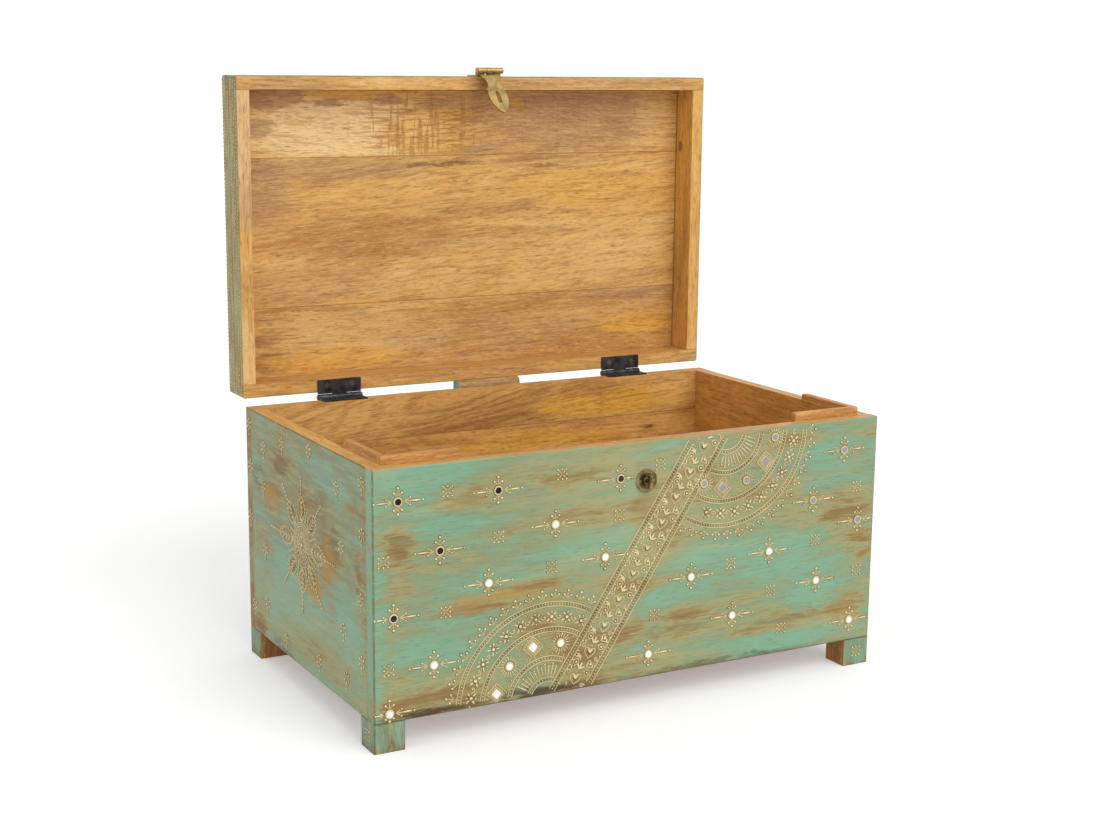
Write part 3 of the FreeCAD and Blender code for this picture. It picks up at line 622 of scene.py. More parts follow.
def calc(tree, operation, first, second=0.0):
    """One sum on two numbers."""
    return add(tree, "Math", {0: first, 1: second}, operation=operation).outputs[0]


def shift(tree, operation, first, second):
    """One sum on two vectors."""
    return add(tree, "VectorMath", {0: first, 1: second}, operation=operation).outputs[0]


def eased(tree, number, low, high):
    """A smooth step from 0 at the low number to 1 at the high one."""
    values = {"Value": number, "From Min": low, "From Max": high}
    return add(tree, "MapRange", values, interpolation_type="SMOOTHSTEP").outputs[0]


def tint(tree, share, first, second):
    """Two colours mixed by a share."""
    return add(tree, "Mix", {0: share, 6: first, 7: second}, data_type="RGBA").outputs[2]


def veil(tree, colour, mask, strength, tone):
    """A colour with a tone laid over it where a mask says, at a strength."""
    return tint(tree, calc(tree, "MULTIPLY", mask, strength), colour, tone)


def scaled(tree, number, gain, base):
    """A number times a gain, and a base added."""
    return calc(tree, "ADD", calc(tree, "MULTIPLY", number, gain), base)


def between(tree, share, first, second):
    """Two numbers mixed by a share."""
    return add(tree, "Mix", {0: share, 2: first, 3: second}).outputs[0]


def ramp(tree, share, stops):
    """A colour from a row of stops, each a share and a colour."""
    node = add(tree, "ValToRGB", {0: share})
    elements = node.color_ramp.elements
    elements[0].position, elements[1].position = stops[0][0], stops[-1][0]
    for at, _ in stops[1:-1]:
        elements.new(at)
    for element, (_, colour) in zip(elements, stops):
        element.color = (*colour, 1)
    return node.outputs[0]


def cloud(tree, place, scale, detail=3.0, roughness=0.55, distortion=0.0):
    """Noise on a place stretched by a scale for each axis."""
    stretched = shift(tree, "MULTIPLY", place, scale)
    values = {"Vector": stretched, "Scale": 1.0, "Detail": detail, "Roughness": roughness,
              "Distortion": distortion}
    return add(tree, "TexNoise", values).outputs


SOCKETS = {"number": "NodeSocketFloat", "vector": "NodeSocketVector", "colour": "NodeSocketColor"}


def effect(name, takes, gives):
    """A node group with named sockets: its tree, what it is given, and a function that gives a result out."""
    tree = bpy.data.node_groups.new(name, "ShaderNodeTree")
    for way, sockets in (("INPUT", takes), ("OUTPUT", gives)):
        for label, kind in sockets.items():
            tree.interface.new_socket(label, in_out=way, socket_type=SOCKETS[kind])
    end = tree.nodes.new("NodeGroupOutput")

    def give(label, socket):
        """Send a result out of the group under its label."""
        feed(tree, end, {label: socket})

    return tree, tree.nodes.new("NodeGroupInput").outputs, give


def use(tree, group, **values):
    """A node group placed in a tree with its inputs by name: its outputs."""
    return add(tree, "Group", values, node_tree=group).outputs


# Effects shared by several finishes

def grain_effect():
    """Grain running along X: fine fibres, a broad drift of tone, a contour figure and short pores."""
    gives = {"Fibre": "number", "Drift": "number", "Figure": "number", "Pore": "number"}
    tree, given, give = effect("long grain", {"Place": "vector"}, gives)
    bent = cloud(tree, given["Place"], (2.5, 9, 9), detail=2.0)[1]
    place = shift(tree, "ADD", given["Place"], shift(tree, "MULTIPLY", bent, (0.04, 0.035, 0.035)))
    give("Fibre", cloud(tree, place, (11, 260, 260), detail=4.0, roughness=0.65)[0])
    give("Drift", cloud(tree, place, (2.6, 19, 19), detail=4.0, roughness=0.6, distortion=0.5)[0])
    hills = cloud(tree, place, (1.7, 12, 12), detail=1.5, distortion=0.3)[0]
    give("Figure", calc(tree, "SINE", calc(tree, "MULTIPLY", hills, 95.0)))
    pores = cloud(tree, place, (55, 700, 700), detail=1.0)[0]
    give("Pore", eased(tree, pores, 0.6, 0.7))
    return tree


def stain_effect():
    """An oval patch: 1 inside, falling to 0 over a soft border about one reach from the centre."""
    takes = {"Place": "vector", "Centre": "vector", "Reach": "vector", "Soft": "number"}
    tree, given, give = effect("stain", takes, {"Mask": "number"})
    away = shift(tree, "DIVIDE", shift(tree, "SUBTRACT", given["Place"], given["Centre"]), given["Reach"])
    far = add(tree, "VectorMath", {0: away}, operation="LENGTH").outputs["Value"]
    over = calc(tree, "DIVIDE", calc(tree, "SUBTRACT", 1.0, far), given["Soft"])
    give("Mask", eased(tree, over, -0.5, 0.5))
    return tree


def mango_effect(grain):
    """Oiled mango wood before its fibres: three tones drifting along the grain, and a contour figure."""
    takes = {"Place": "vector", "Deep": "colour", "Body": "colour", "Pale": "colour", "Bold": "number"}
    tree, given, give = effect("mango wood", takes, {"Colour": "colour"})
    seen = use(tree, grain, Place=given["Place"])
    tone = tint(tree, eased(tree, seen["Drift"], 0.26, 0.5), given["Deep"], given["Body"])
    tone = tint(tree, eased(tree, seen["Drift"], 0.52, 0.7), tone, given["Pale"])
    give("Colour", veil(tree, tone, eased(tree, seen["Figure"], 0.0, 1.0), given["Bold"], given["Deep"]))
    return tree


def fibre_effect(grain):
    """Fine dark and light fibres and short pores drawn over any tone of wood."""
    takes = {"Place": "vector", "Tone": "colour"}
    tree, given, give = effect("fibres", takes, {"Colour": "colour", "Height": "number", "Sheen": "number"})
    seen = use(tree, grain, Place=given["Place"])
    tone = veil(tree, given["Tone"], eased(tree, seen["Fibre"], 0.52, 0.28), 0.5, WALNUT)
    tone = veil(tree, tone, eased(tree, seen["Fibre"], 0.5, 0.7), 0.4, CREAM_WOOD)
    mottle = cloud(tree, given["Place"], (18, 75, 75), detail=6.0, roughness=0.75)[0]
    tone = veil(tree, tone, eased(tree, mottle, 0.5, 0.68), 0.5, CHESTNUT)
    tone = veil(tree, tone, eased(tree, mottle, 0.48, 0.32), 0.35, CREAM_WOOD)
    flecks = cloud(tree, given["Place"], (90, 420, 420), detail=2.0, roughness=0.7)[0]
    tone = veil(tree, tone, eased(tree, flecks, 0.52, 0.66), 0.28, CHESTNUT)
    tone = veil(tree, tone, eased(tree, flecks, 0.5, 0.34), 0.25, CREAM_WOOD)
    give("Colour", veil(tree, tone, seen["Pore"], 0.5, WALNUT))
    give("Height", calc(tree, "SUBTRACT", seen["Fibre"], calc(tree, "MULTIPLY", seen["Pore"], 0.6)))
    give("Sheen", scaled(tree, seen["Fibre"], 0.24, 0.36))
    return tree


def paint_effect(grain):
    """Sea-green paint wiped thin along the grain: Rub wears it, Fresh spares it, Fleck breaks up scuffs."""
    takes = {"Place": "vector", "Rub": "number", "Fresh": "number"}
    gives = {"Colour": "colour", "Height": "number", "Sheen": "number", "Fleck": "number"}
    tree, given, give = effect("rubbed paint", takes, gives)
    seen = use(tree, grain, Place=given["Place"])
    wipes = cloud(tree, given["Place"], (6.0, 25, 25), detail=9.0, roughness=0.7, distortion=0.5)[0]
    worn = scaled(tree, calc(tree, "SUBTRACT", wipes, 0.5), 2.3, 0.36)
    streaks = cloud(tree, given["Place"], (18, 620, 620), detail=2.0)[0]
    for noise, share in ((seen["Fibre"], 0.6), (streaks, 0.8)):
        worn = scaled(tree, calc(tree, "SUBTRACT", noise, 0.5), share, worn)
    worn = scaled(tree, calc(tree, "SUBTRACT", given["Rub"], given["Fresh"]), 0.42, worn)
    coat = ramp(tree, worn, (
        (0.05, SEA), (0.25, TEAL), (0.42, SAGE), (0.6, STRAW), (0.8, TAN), (1.0, BROWN),
    ))
    thin = cloud(tree, shift(tree, "ADD", given["Place"], (3.1, 1.7, 2.3)), (5, 36, 36), detail=5.0)[0]
    coat = veil(tree, coat, eased(tree, thin, 0.55, 0.7), 0.4, PALE_STRAW)
    rusty = calc(tree, "MULTIPLY", eased(tree, worn, 0.76, 1.0), eased(tree, seen["Drift"], 0.46, 0.6))
    coat = veil(tree, coat, rusty, 0.35, RUST)
    coat = veil(tree, coat, eased(tree, seen["Fibre"], 0.48, 0.26), 0.25, UMBER)
    give("Colour", veil(tree, coat, seen["Pore"], 0.3, UMBER))
    film = calc(tree, "MULTIPLY", eased(tree, worn, 0.35, 0.85), -0.5)
    give("Height", scaled(tree, seen["Fibre"], 0.6, film))
    give("Sheen", scaled(tree, eased(tree, worn, 0.2, 0.8), 0.14, 0.46))
    flecks = cloud(tree, given["Place"], (16, 95, 95), detail=5.0, roughness=0.7)[0]
    give("Fleck", eased(tree, flecks, 0.36, 0.56))
    return tree


def tarnish_effect():
    """Old metal: a cloudy film, fine specks and rubbed brighter spots."""
    takes = {"Place": "vector", "Bright": "colour", "Dull": "colour"}
    tree, given, give = effect("tarnish", takes, {"Colour": "colour", "Sheen": "number", "Height": "number"})
    film = cloud(tree, given["Place"], (60, 60, 60), detail=5.0, roughness=0.62)[0]
    specks = cloud(tree, given["Place"], (520, 520, 520), detail=2.0)[0]
    tone = tint(tree, eased(tree, film, 0.34, 0.62), given["Dull"], given["Bright"])
    give("Colour", veil(tree, tone, eased(tree, specks, 0.6, 0.72), 0.5, given["Dull"]))
    give("Sheen", scaled(tree, film, 0.3, 0.2))
    give("Height", scaled(tree, specks, 0.4, film))
    return tree


GRAIN = grain_effect()
STAIN = stain_effect()
MANGO = mango_effect(GRAIN)
FIBRES = fibre_effect(GRAIN)
PAINT = paint_effect(GRAIN)
TARNISH = tarnish_effect()


# Finishes

def finish(name):
    """A new material: itself, its tree, its surface shader and the place on the piece."""
    material = bpy.data.materials.new(name)
    material.use_nodes = True
    tree = material.node_tree
    return material, tree, tree.nodes["Principled BSDF"], add(tree, "TexCoord").outputs["Object"]


def dress(material, *nodes):
    """Give CAD pieces a finish."""
    for node in nodes:
        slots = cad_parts[node].data.materials
        slots.clear()
        slots.append(material)


BUMP_STRENGTH = 0.6


def surface(tree, shader, colour, sheen, height=None, depth=0.0):
    """Link a colour, a roughness and a fine relief to a shader."""
    feed(tree, shader, {"Base Color": colour, "Roughness": sheen})
    if height:
        bump = add(tree, "Bump", {"Height": height, "Distance": depth, "Strength": BUMP_STRENGTH})
        feed(tree, shader, {"Normal": bump.outputs[0]})


# each grain's axis first, then the two across it
GRAIN_ORDER = {"x": "XYZ", "y": "YXZ", "z": "ZXY"}


def along(tree, place, axis, offset, tilt):
    """The place with its grain axis first, tilted, and moved by an offset so that no two boards match."""
    parts = add(tree, "SeparateXYZ", {0: place}).outputs
    first, second, third = (parts[letter] for letter in GRAIN_ORDER[axis])
    if tilt:
        third = calc(tree, "SUBTRACT", third, calc(tree, "MULTIPLY", first, tilt))
    turned = add(tree, "CombineXYZ", {0: first, 1: second, 2: third}).outputs[0]
    return shift(tree, "ADD", turned, (offset, 0.7 * offset, 0.4 * offset))


def torn(tree, place, axis):
    """The place pushed about by ragged noise, more along the grain than across it."""
    number = "xyz".index(axis)
    # metres of push and the noise's scale, first across the grain and then along it
    push, scale = [0.034] * 3, [70.0] * 3
    push[number], scale[number] = 0.1, 18.0
    noise = cloud(tree, place, scale, detail=8.0, roughness=0.8)[1]
    pushed = shift(tree, "MULTIPLY", shift(tree, "SUBTRACT", noise, (0.5, 0.5, 0.5)), push)
    return shift(tree, "ADD", place, pushed)


def common_box(nodes):
    """The box round several CAD pieces."""
    lows, highs = zip(*(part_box(node) for node in nodes))
    return np.min(lows, axis=0), np.max(highs, axis=0)


def near_side(tree, place, box, side, depth):
    """1 within a depth of one side of a box, such as x- or z+."""
    axis, low = "xyz".index(side[0]), side[1] == "-"
    number = add(tree, "SeparateXYZ", {0: place}).outputs[axis]
    edge = box[0][axis] + depth if low else box[1][axis] - depth
    return calc(tree, "LESS_THAN" if low else "GREATER_THAN", number, float(edge))


def strip(tree, place, box, sides, depth):
    """1 within a depth of every one of the named sides of a box."""
    return gathered(tree, "MULTIPLY", [near_side(tree, place, box, side, depth) for side in sides.split()])


def any_side(tree, place, box, sides, depth):
    """1 within a depth of any one of the given sides of a box."""
    return gathered(tree, "MAXIMUM", [near_side(tree, place, box, side, depth) for side in sides])


def gathered(tree, operation, numbers):
    """Several numbers taken together by one operation; 0 for none."""
    whole = 0.0
    for count, number in enumerate(numbers):
        whole = calc(tree, operation, whole, number) if count else number
    return whole


# reach of a patch along an axis that its shares leave open
OPEN_REACH = 10.0


def patch_mask(tree, place, box, axes, patch, soft):
    """The mask of a patch: shares of the box along two axes for its middle, then for its half lengths."""
    middle, reach = (box[0] + box[1]) / 2, np.full(3, OPEN_REACH)
    for axis, share, half in zip(axes, patch[:2], patch[2:]):
        number = "xyz".index(axis)
        run = box[1][number] - box[0][number]
        middle[number], reach[number] = box[0][number] + run * share, run * half
    return use(tree, STAIN, Place=place, Centre=middle.tolist(), Reach=reach.tolist(), Soft=soft)["Mask"]


def patched(tree, colour, place, box, axes, patches, fleck=None):
    """A colour with patches of other tones on it: middle, half lengths, tone, strength and softness."""
    for *patch, tone, strength, soft in patches:
        mask = patch_mask(tree, place, box, axes, patch, soft)
        if fleck is not None:
            mask = calc(tree, "MULTIPLY", mask, fleck)
        colour = veil(tree, colour, mask, strength, tone)
    return colour


RUB_SOFT = 0.9


def rubbing(tree, place, box, axes, patches):
    """Soft patches, each with its strength."""
    return [
        calc(tree, "MULTIPLY", patch_mask(tree, place, box, axes, patch, RUB_SOFT), strength)
        for *patch, strength in patches
    ]


LIGHT_TONES = (LILAC_BROWN, HONEY, CREAM_WOOD)
RED_TONES = (CHESTNUT, HONEY, CREAM_WOOD)
DARK_TONES = (WALNUT, CHESTNUT, HONEY)
GOLD_TONES = (HONEY, GOLDEN, CREAM_WOOD)
# how deep the paint, its worn edges, the seams between boards and the fine reliefs go
PAINT_SKIN = 1.2 * MM
EDGE_WEAR = 2.2 * MM
SEAM_LINE = 0.8 * MM
WOOD_RELIEF = 0.4 * MM
METAL_RELIEF = 0.08 * MM
WOOD_SHINE = 0.35
# how strong the painted shade in corners and the dark seam lines are, and how worn an edge is off and on the
# flecks
SHADE_AND_SEAM = 0.5
EDGE_WORN = (0.3, 0.65)


def board(nodes, name, grain, offset, tones=LIGHT_TONES, bold=0.3, tilt=0.0, axes="xz", patches=(), knots_and_shade=(),
          marks=None, shade=(), painted=(), rubbed=(), fresh=(), scuffs=(), edges=(), seams=()):
    """One finish for boards: oiled wood, with rubbed paint on the named outer sides of their common box."""
    box = common_box(nodes)
    material, tree, shader, place = finish(name)
    own, ragged = along(tree, place, grain, offset, tilt), torn(tree, place, grain)
    colour = use(tree, MANGO, Place=own, Deep=tones[0], Body=tones[1], Pale=tones[2], Bold=bold)["Colour"]
    colour = patched(tree, colour, ragged, box, axes, patches)
    colour = patched(tree, colour, place, box, axes, knots_and_shade)
    if marks:
        colour = marks(tree, place, ragged, box, colour)
    wood = use(tree, FIBRES, Place=own, Tone=colour)
    colour, height, sheen = wood["Colour"], wood["Height"], wood["Sheen"]
    # painted shade: the wood darkened in strips along the named sides, where it meets other boards
    for sides, depth in shade:
        colour = veil(tree, colour, strip(tree, place, box, sides, depth), SHADE_AND_SEAM, UMBER)
    if painted:
        rub = gathered(tree, "ADD", rubbing(tree, ragged, box, axes, rubbed))
        spared = gathered(tree, "ADD", rubbing(tree, ragged, box, axes, fresh))
        coat = use(tree, PAINT, Place=own, Rub=rub, Fresh=spared)
        coat_colour = patched(tree, coat["Colour"], ragged, box, axes, scuffs, coat["Fleck"])
        for sides in edges:
            share = between(tree, coat["Fleck"], *EDGE_WORN)
            worn = calc(tree, "MULTIPLY", strip(tree, place, box, sides, EDGE_WEAR), share)
            coat_colour = tint(tree, worn, coat_colour, UMBER)
        outside = any_side(tree, place, box, painted, PAINT_SKIN)
        colour = tint(tree, outside, colour, coat_colour)
        height = between(tree, outside, height, coat["Height"])
        sheen = between(tree, outside, sheen, coat["Sheen"])
    if seams:
        colour = veil(tree, colour, any_side(tree, place, box, seams, SEAM_LINE), SHADE_AND_SEAM, UMBER)
    surface(tree, shader, colour, sheen, height, WOOD_RELIEF)
    feed(tree, shader, {"Specular IOR Level": WOOD_SHINE})
    dress(material, *nodes)


def saw_marks(tree, place, ragged, box, colour):
    """Dark bars across and along the grain in two patches that the saw left rough."""
    for patch, across, lengthwise, strength in (
        ((0.4, 0.4, 0.15, 0.42), 150, 270, 0.75), ((0.7, 0.45, 0.17, 0.5), 260, 560, 0.3),
    ):
        bars = cloud(tree, place, (across, 1, 12), detail=4.0)[0]
        rows = cloud(tree, place, (22, 1, lengthwise), detail=4.0)[0]
        rough = calc(tree, "MAXIMUM", eased(tree, bars, 0.53, 0.59), eased(tree, rows, 0.52, 0.58))
        mask = calc(tree, "MULTIPLY", patch_mask(tree, ragged, box, "xz", patch, 0.5), rough)
        colour = veil(tree, colour, mask, strength, CHESTNUT)
    return colour


def metal(name, bright, dull, nodes, metallic=1.0, patches=()):
    """Old metal on CAD pieces, darker in the given patches."""
    material, tree, shader, place = finish(name)
    film = use(tree, TARNISH, Place=place, Bright=bright, Dull=dull)
    colour = patched(tree, film["Colour"], place, common_box(nodes), "xz", patches)
    surface(tree, shader, colour, film["Sheen"], film["Height"], METAL_RELIEF)
    feed(tree, shader, {"Metallic": metallic})
    dress(material, *nodes)


def mirror_finish():
    """Silvered glass with a faint film."""
    material, tree, shader, place = finish("silvered glass")
    film = cloud(tree, place, (160, 160, 160))[0]
    colour = tint(tree, eased(tree, film, 0.45, 0.75), SILVERING, SILVERING_DIM)
    surface(tree, shader, colour, calc(tree, "MULTIPLY", film, 0.1))
    feed(tree, shader, {"Metallic": 1.0})
    dress(material, "round_mirrors", "diamond_mirrors")


def paste_finish():
    """Dried cone paste: dark round its foot, partly a stain and partly painted shade, gold up its sides and
    cream on its crest.
    """
    material, tree, shader, place = finish("cone paste")
    lift = add(tree, "Attribute", attribute_name="lift").outputs["Fac"]
    pale = add(tree, "Attribute", attribute_name="pale").outputs["Fac"]
    age = cloud(tree, place, (26, 26, 26), detail=4.0, roughness=0.6)[0]
    crest = tint(tree, pale, PASTE_GOLD, PASTE)
    crest = veil(tree, crest, eased(tree, age, 0.46, 0.68), 0.55, PASTE_GOLD)
    # stain and painted shade: the foot of every line and drop, and the flat beds, darker than the paste
    stain = tint(tree, eased(tree, age, 0.36, 0.62), PASTE_FOOT_STAIN_AND_SHADE_PALE, PASTE_FOOT_STAIN_AND_SHADE)
    colour = tint(tree, eased(tree, lift, 0.1, 0.66), stain, crest)
    surface(tree, shader, colour, scaled(tree, age, 0.3, 0.3))
    return material


# Boards of the chest

board(
    ["front_panel"], "front board", "x", 0.0, painted=("y-", "x-", "x+", "z-"),
    edges=("x- y-", "x+ y-", "y- z-"), rubbed=(
        (0.38, 0.93, 0.17, 0.06, 0.7), (0.16, 0.86, 0.05, 0.06, 0.9), (0.36, 0.87, 0.07, 0.04, 0.6),
        (0.04, 0.7, 0.03, 0.08, 0.9), (0.045, 0.5, 0.02, 0.1, 0.7), (0.2, 0.62, 0.06, 0.04, 0.4),
        (0.17, 0.41, 0.07, 0.025, 0.9), (0.27, 0.46, 0.08, 0.025, 0.7), (0.08, 0.05, 0.12, 0.06, 0.9),
        (0.43, 0.72, 0.12, 0.05, 0.7), (0.56, 0.2, 0.12, 0.06, 0.8), (0.83, 0.93, 0.07, 0.04, 0.8),
        (0.93, 0.6, 0.06, 0.07, 0.8), (0.97, 0.42, 0.03, 0.07, 0.6), (0.94, 0.16, 0.05, 0.09, 0.9),
        (0.78, 0.14, 0.12, 0.04, 0.8), (0.7, 0.36, 0.05, 0.05, 0.5), (0.66, 0.08, 0.16, 0.05, 0.4),
        # round the band and the suns
        (0.38, 0.1, 0.05, 0.22, 0.65), (0.46, 0.37, 0.05, 0.22, 0.65), (0.53, 0.63, 0.05, 0.22, 0.65),
        (0.61, 0.9, 0.05, 0.22, 0.65), (0.28, 0.1, 0.14, 0.28, 0.6), (0.71, 0.86, 0.14, 0.28, 0.6),
    ), fresh=(
        (0.1, 0.95, 0.08, 0.07, 1.0), (0.13, 0.76, 0.06, 0.06, 0.7), (0.3, 0.62, 0.14, 0.07, 0.8),
        (0.16, 0.28, 0.13, 0.1, 0.8), (0.8, 0.42, 0.12, 0.11, 0.9), (0.88, 0.24, 0.07, 0.07, 0.9),
        (0.86, 0.84, 0.1, 0.05, 0.6), (0.6, 0.33, 0.1, 0.06, 0.6), (0.8, 0.05, 0.14, 0.04, 0.7),
        (0.5, 0.96, 0.2, 0.03, 0.6), (0.0, 0.5, 0.008, 2.0, 0.9), (0.44, 0.84, 0.08, 0.05, 0.6),
        (0.4, 0.6, 0.1, 0.05, 0.7), (0.64, 0.5, 0.08, 0.06, 0.5), (0.22, 0.52, 0.14, 0.05, 0.5),
        (0.46, 0.56, 0.07, 0.1, 0.6),
    ), scuffs=(
        (0.17, 0.4, 0.07, 0.02, RUST, 0.45, 0.7), (0.04, 0.7, 0.02, 0.05, UMBER, 0.4, 0.7),
        (0.36, 0.9, 0.06, 0.02, UMBER, 0.4, 0.7), (0.94, 0.17, 0.03, 0.05, RUST, 0.4, 0.8),
        (0.8, 0.15, 0.08, 0.02, UMBER, 0.4, 0.7), (0.58, 0.19, 0.07, 0.025, UMBER, 0.35, 0.7),
        (0.48, 0.72, 0.16, 0.3, PALE_STRAW, 0.35, 0.9), (0.2, 0.5, 0.2, 0.5, UMBER, 0.12, 0.9),
        (0.1, 0.0, 0.09, 0.03, SOOT, 0.95, 0.8), (0.3, 0.0, 0.1, 0.04, SOOT, 0.95, 0.8),
        (0.66, 0.0, 0.24, 0.025, SOOT, 0.6, 0.8), (0.2, 0.44, 0.1, 0.02, OCHRE, 0.5, 0.8),
    ),
)
board(
    ["left_panel"], "left board", "y", 1.7, axes="yz", painted=("x-", "z-"), seams=("y-", "y+"),
    edges=("x- z-", "x- z+"), rubbed=(
        (0.78, 0.68, 0.1, 0.06, 1.0), (0.3, 0.55, 0.1, 0.1, 0.9), (0.45, 0.42, 0.1, 0.07, 0.9),
        (0.7, 0.84, 0.14, 0.06, 0.7), (0.93, 0.1, 0.06, 0.12, 0.9), (0.5, 0.1, 0.3, 0.06, 0.4),
        (0.06, 0.56, 0.02, 0.1, 0.9), (0.4, 0.75, 0.12, 0.08, 0.5), (0.5, 0.6, 0.6, 0.5, 0.1),
        (0.0, 0.5, 0.03, 2.0, 0.6),
    ), fresh=(
        (0.3, 0.84, 0.14, 0.07, 0.9), (0.68, 0.36, 0.14, 0.1, 0.7), (0.15, 0.3, 0.1, 0.12, 0.8),
        (0.5, 0.16, 0.5, 0.16, 0.15),
    ), scuffs=(
        (0.8, 0.66, 0.07, 0.05, OCHRE, 1.0, 0.5), (0.3, 0.54, 0.05, 0.1, OCHRE, 0.9, 0.6),
        (0.42, 0.38, 0.06, 0.06, OCHRE, 0.9, 0.6), (0.72, 0.82, 0.06, 0.04, UMBER, 0.6, 0.7),
        (0.92, 0.72, 0.06, 0.05, UMBER, 0.7, 0.7), (0.36, 0.72, 0.05, 0.09, BROWN, 0.7, 0.9),
        (0.5, 0.75, 0.7, 0.4, UMBER, 0.28, 0.9), (0.5, 0.12, 0.6, 0.2, PALE_STRAW, 0.2, 0.9),
        (0.94, 0.04, 0.05, 0.05, UMBER, 0.7, 0.7), (0.055, 0.52, 0.014, 0.09, BROWN, 0.8, 0.8),
        (0.72, 0.02, 0.1, 0.04, UMBER, 0.7, 0.7), (0.25, 0.64, 0.04, 0.05, UMBER, 0.6, 0.8),
    ),
)
board(
    ["right_panel"], "right board", "y", 4.3, tones=(CHESTNUT, HONEY, GOLDEN), axes="yz",
    painted=("x+", "z-"), seams=("y-", "y+"), edges=("x+ z-", "x+ z+"),
    rubbed=((0.25, 0.7, 0.12, 0.06, 1.0), (0.7, 0.5, 0.14, 0.06, 0.9), (0.45, 0.2, 0.2, 0.06, 0.8)),
    scuffs=((0.25, 0.68, 0.05, 0.03, RUST, 0.6, 0.6), (0.66, 0.5, 0.05, 0.04, RUST, 0.5, 0.6)),
)
BACK_RUB = ((0.0, 0.5, 0.03, 2.0, 1.3), (1.0, 0.5, 0.03, 2.0, 1.0), (0.4, 0.5, 0.3, 0.4, 0.6))
board(
    ["back_board_upper"], "upper back board", "x", 2.9, tones=RED_TONES, bold=0.75, tilt=0.1,
    painted=("y+", "x-", "x+"), rubbed=BACK_RUB, edges=("x- y+", "x+ y+"), seams=("z-",), patches=(
        (0.44, 0.3, 0.18, 0.4, WALNUT, 0.4, 0.8), (0.6, 0.5, 0.04, 0.5, WALNUT, 0.45, 0.8),
        (0.8, 0.5, 0.2, 0.6, GOLDEN, 0.7, 0.8), (0.77, 0.42, 0.17, 0.34, AMBER, 0.95, 0.3),
        (0.72, 0.82, 0.07, 0.25, CHESTNUT, 0.7, 0.5),
        (0.22, 0.5, 0.14, 0.4, CREAM_WOOD, 0.4, 0.9), (0.92, 0.5, 0.06, 0.4, CREAM_WOOD, 0.4, 0.9),
    ),
)
board(
    ["back_board_lower"], "lower back board", "x", 3.5, tones=RED_TONES, bold=0.5,
    painted=("y+", "x-", "x+", "z-"), rubbed=BACK_RUB, edges=("x- y+", "x+ y+", "y+ z-"), seams=("z+",),
    patches=(
        (0.6, 0.9, 0.2, 0.06, AMBER, 0.7, 0.6), (0.3, 0.93, 0.16, 0.05, CHESTNUT, 0.5, 0.7),
        (0.86, 0.93, 0.1, 0.05, GOLDEN, 0.6, 0.9),
    ), knots_and_shade=((0.86, 0.915, 0.016, 0.014, WALNUT, 0.7, 0.9), (0.86, 0.915, 0.009, 0.008, SOOT, 0.85, 0.6)),
)
# each foot darker all over, the left pair more than the right, and darker again along its bottom
for side, outer, offset, foot_darkening in (("left", "x-", 5.1, 0.45), ("right", "x+", 6.2, 0.3)):
    for end, face, later in (("front", "y-", 0.0), ("back", "y+", 0.6)):
        board(
            [f"foot_{end}_{side}"], f"foot {end} {side}", "z", offset + later,
            tones=(WALNUT, CHESTNUT, CHESTNUT), painted=(outer, face), edges=(f"{outer} {face}",),
            rubbed=((0.5, 0.0, 2.0, 0.2, 0.8),), fresh=((0.5, 0.6, 2.0, 0.8, 0.4),),
            scuffs=((0.5, 0.5, 2.0, 2.0, UMBER, foot_darkening, 1.0), (0.5, 0.0, 2.0, 0.12, UMBER, 0.6, 0.9)),
        )
board(["bottom_panel"], "bottom board", "x", 7.7, tones=DARK_TONES)
board(
    ["lid_stop_block"], "stop block", "x", 8.8, tones=DARK_TONES, painted=("x-", "x+", "y+", "z-"),
    patches=((0.55, 0.9, 0.5, 0.3, TEAL, 0.25, 1.0),),
)
for side, offset in (("left", 0.4), ("right", 1.3)):
    for place, grain in (("front", "x"), ("side", "y")):
        board(
            [f"lid_guide_{place}_{side}"], f"guide strip {place} {side}", grain, offset,
            tones=(CHESTNUT, COPPER_WOOD, HONEY), bold=0.15,
        )

# Boards of the lid

LID_OUTSIDE = ("y+", "x-", "x+")
LID_RUB = ((0.5, 0.5, 2.0, 2.0, 0.8),)
board(
    ["lid_front_rail"], "lid front rail", "x", 3.3, painted=("z+", "x-", "x+"), rubbed=LID_RUB,
    seams=("x-", "x+"), patches=(
        # the first patch, a narrow dark strip in the middle beside the hasp, is a painted shadow of the hasp
        (0.48, 0.5, 0.025, 0.6, WALNUT, 0.6, 0.9), (0.7, 0.5, 0.2, 0.5, LILAC_BROWN, 0.5, 0.9),
        (0.1, 0.3, 0.1, 0.5, LILAC_BROWN, 0.5, 0.7), (0.3, 0.6, 0.08, 0.4, CREAM_WOOD, 0.6, 0.8),
    ),
)
board(
    ["lid_back_rail"], "lid back rail", "x", 3.9, painted=("z-", "x-", "x+"), rubbed=LID_RUB,
    # painted shade: a dark strip where the ledge meets the lid boards, and a russet tint along the ledge
    shade=(("y+", 3 * MM),), knots_and_shade=((0.5, 1.0, 2.0, 0.06, RUSSET, 0.55, 0.2),),
)
board(
    ["lid_left_rail"], "lid left rail", "z", 4.6, tones=GOLD_TONES, bold=0.45, axes="yz",
    painted=("x-",), rubbed=LID_RUB, seams=("z-", "z+"), patches=(
        (0.5, 0.85, 2.0, 0.3, ROSE_WOOD, 0.75, 0.5), (0.5, 0.62, 2.0, 0.08, LILAC_BROWN, 0.5, 0.8),
        (0.5, 0.1, 2.0, 0.12, PALE_WOOD, 0.5, 0.8), (0.5, 0.36, 2.0, 0.05, CHESTNUT, 0.4, 0.9),
    ),
)
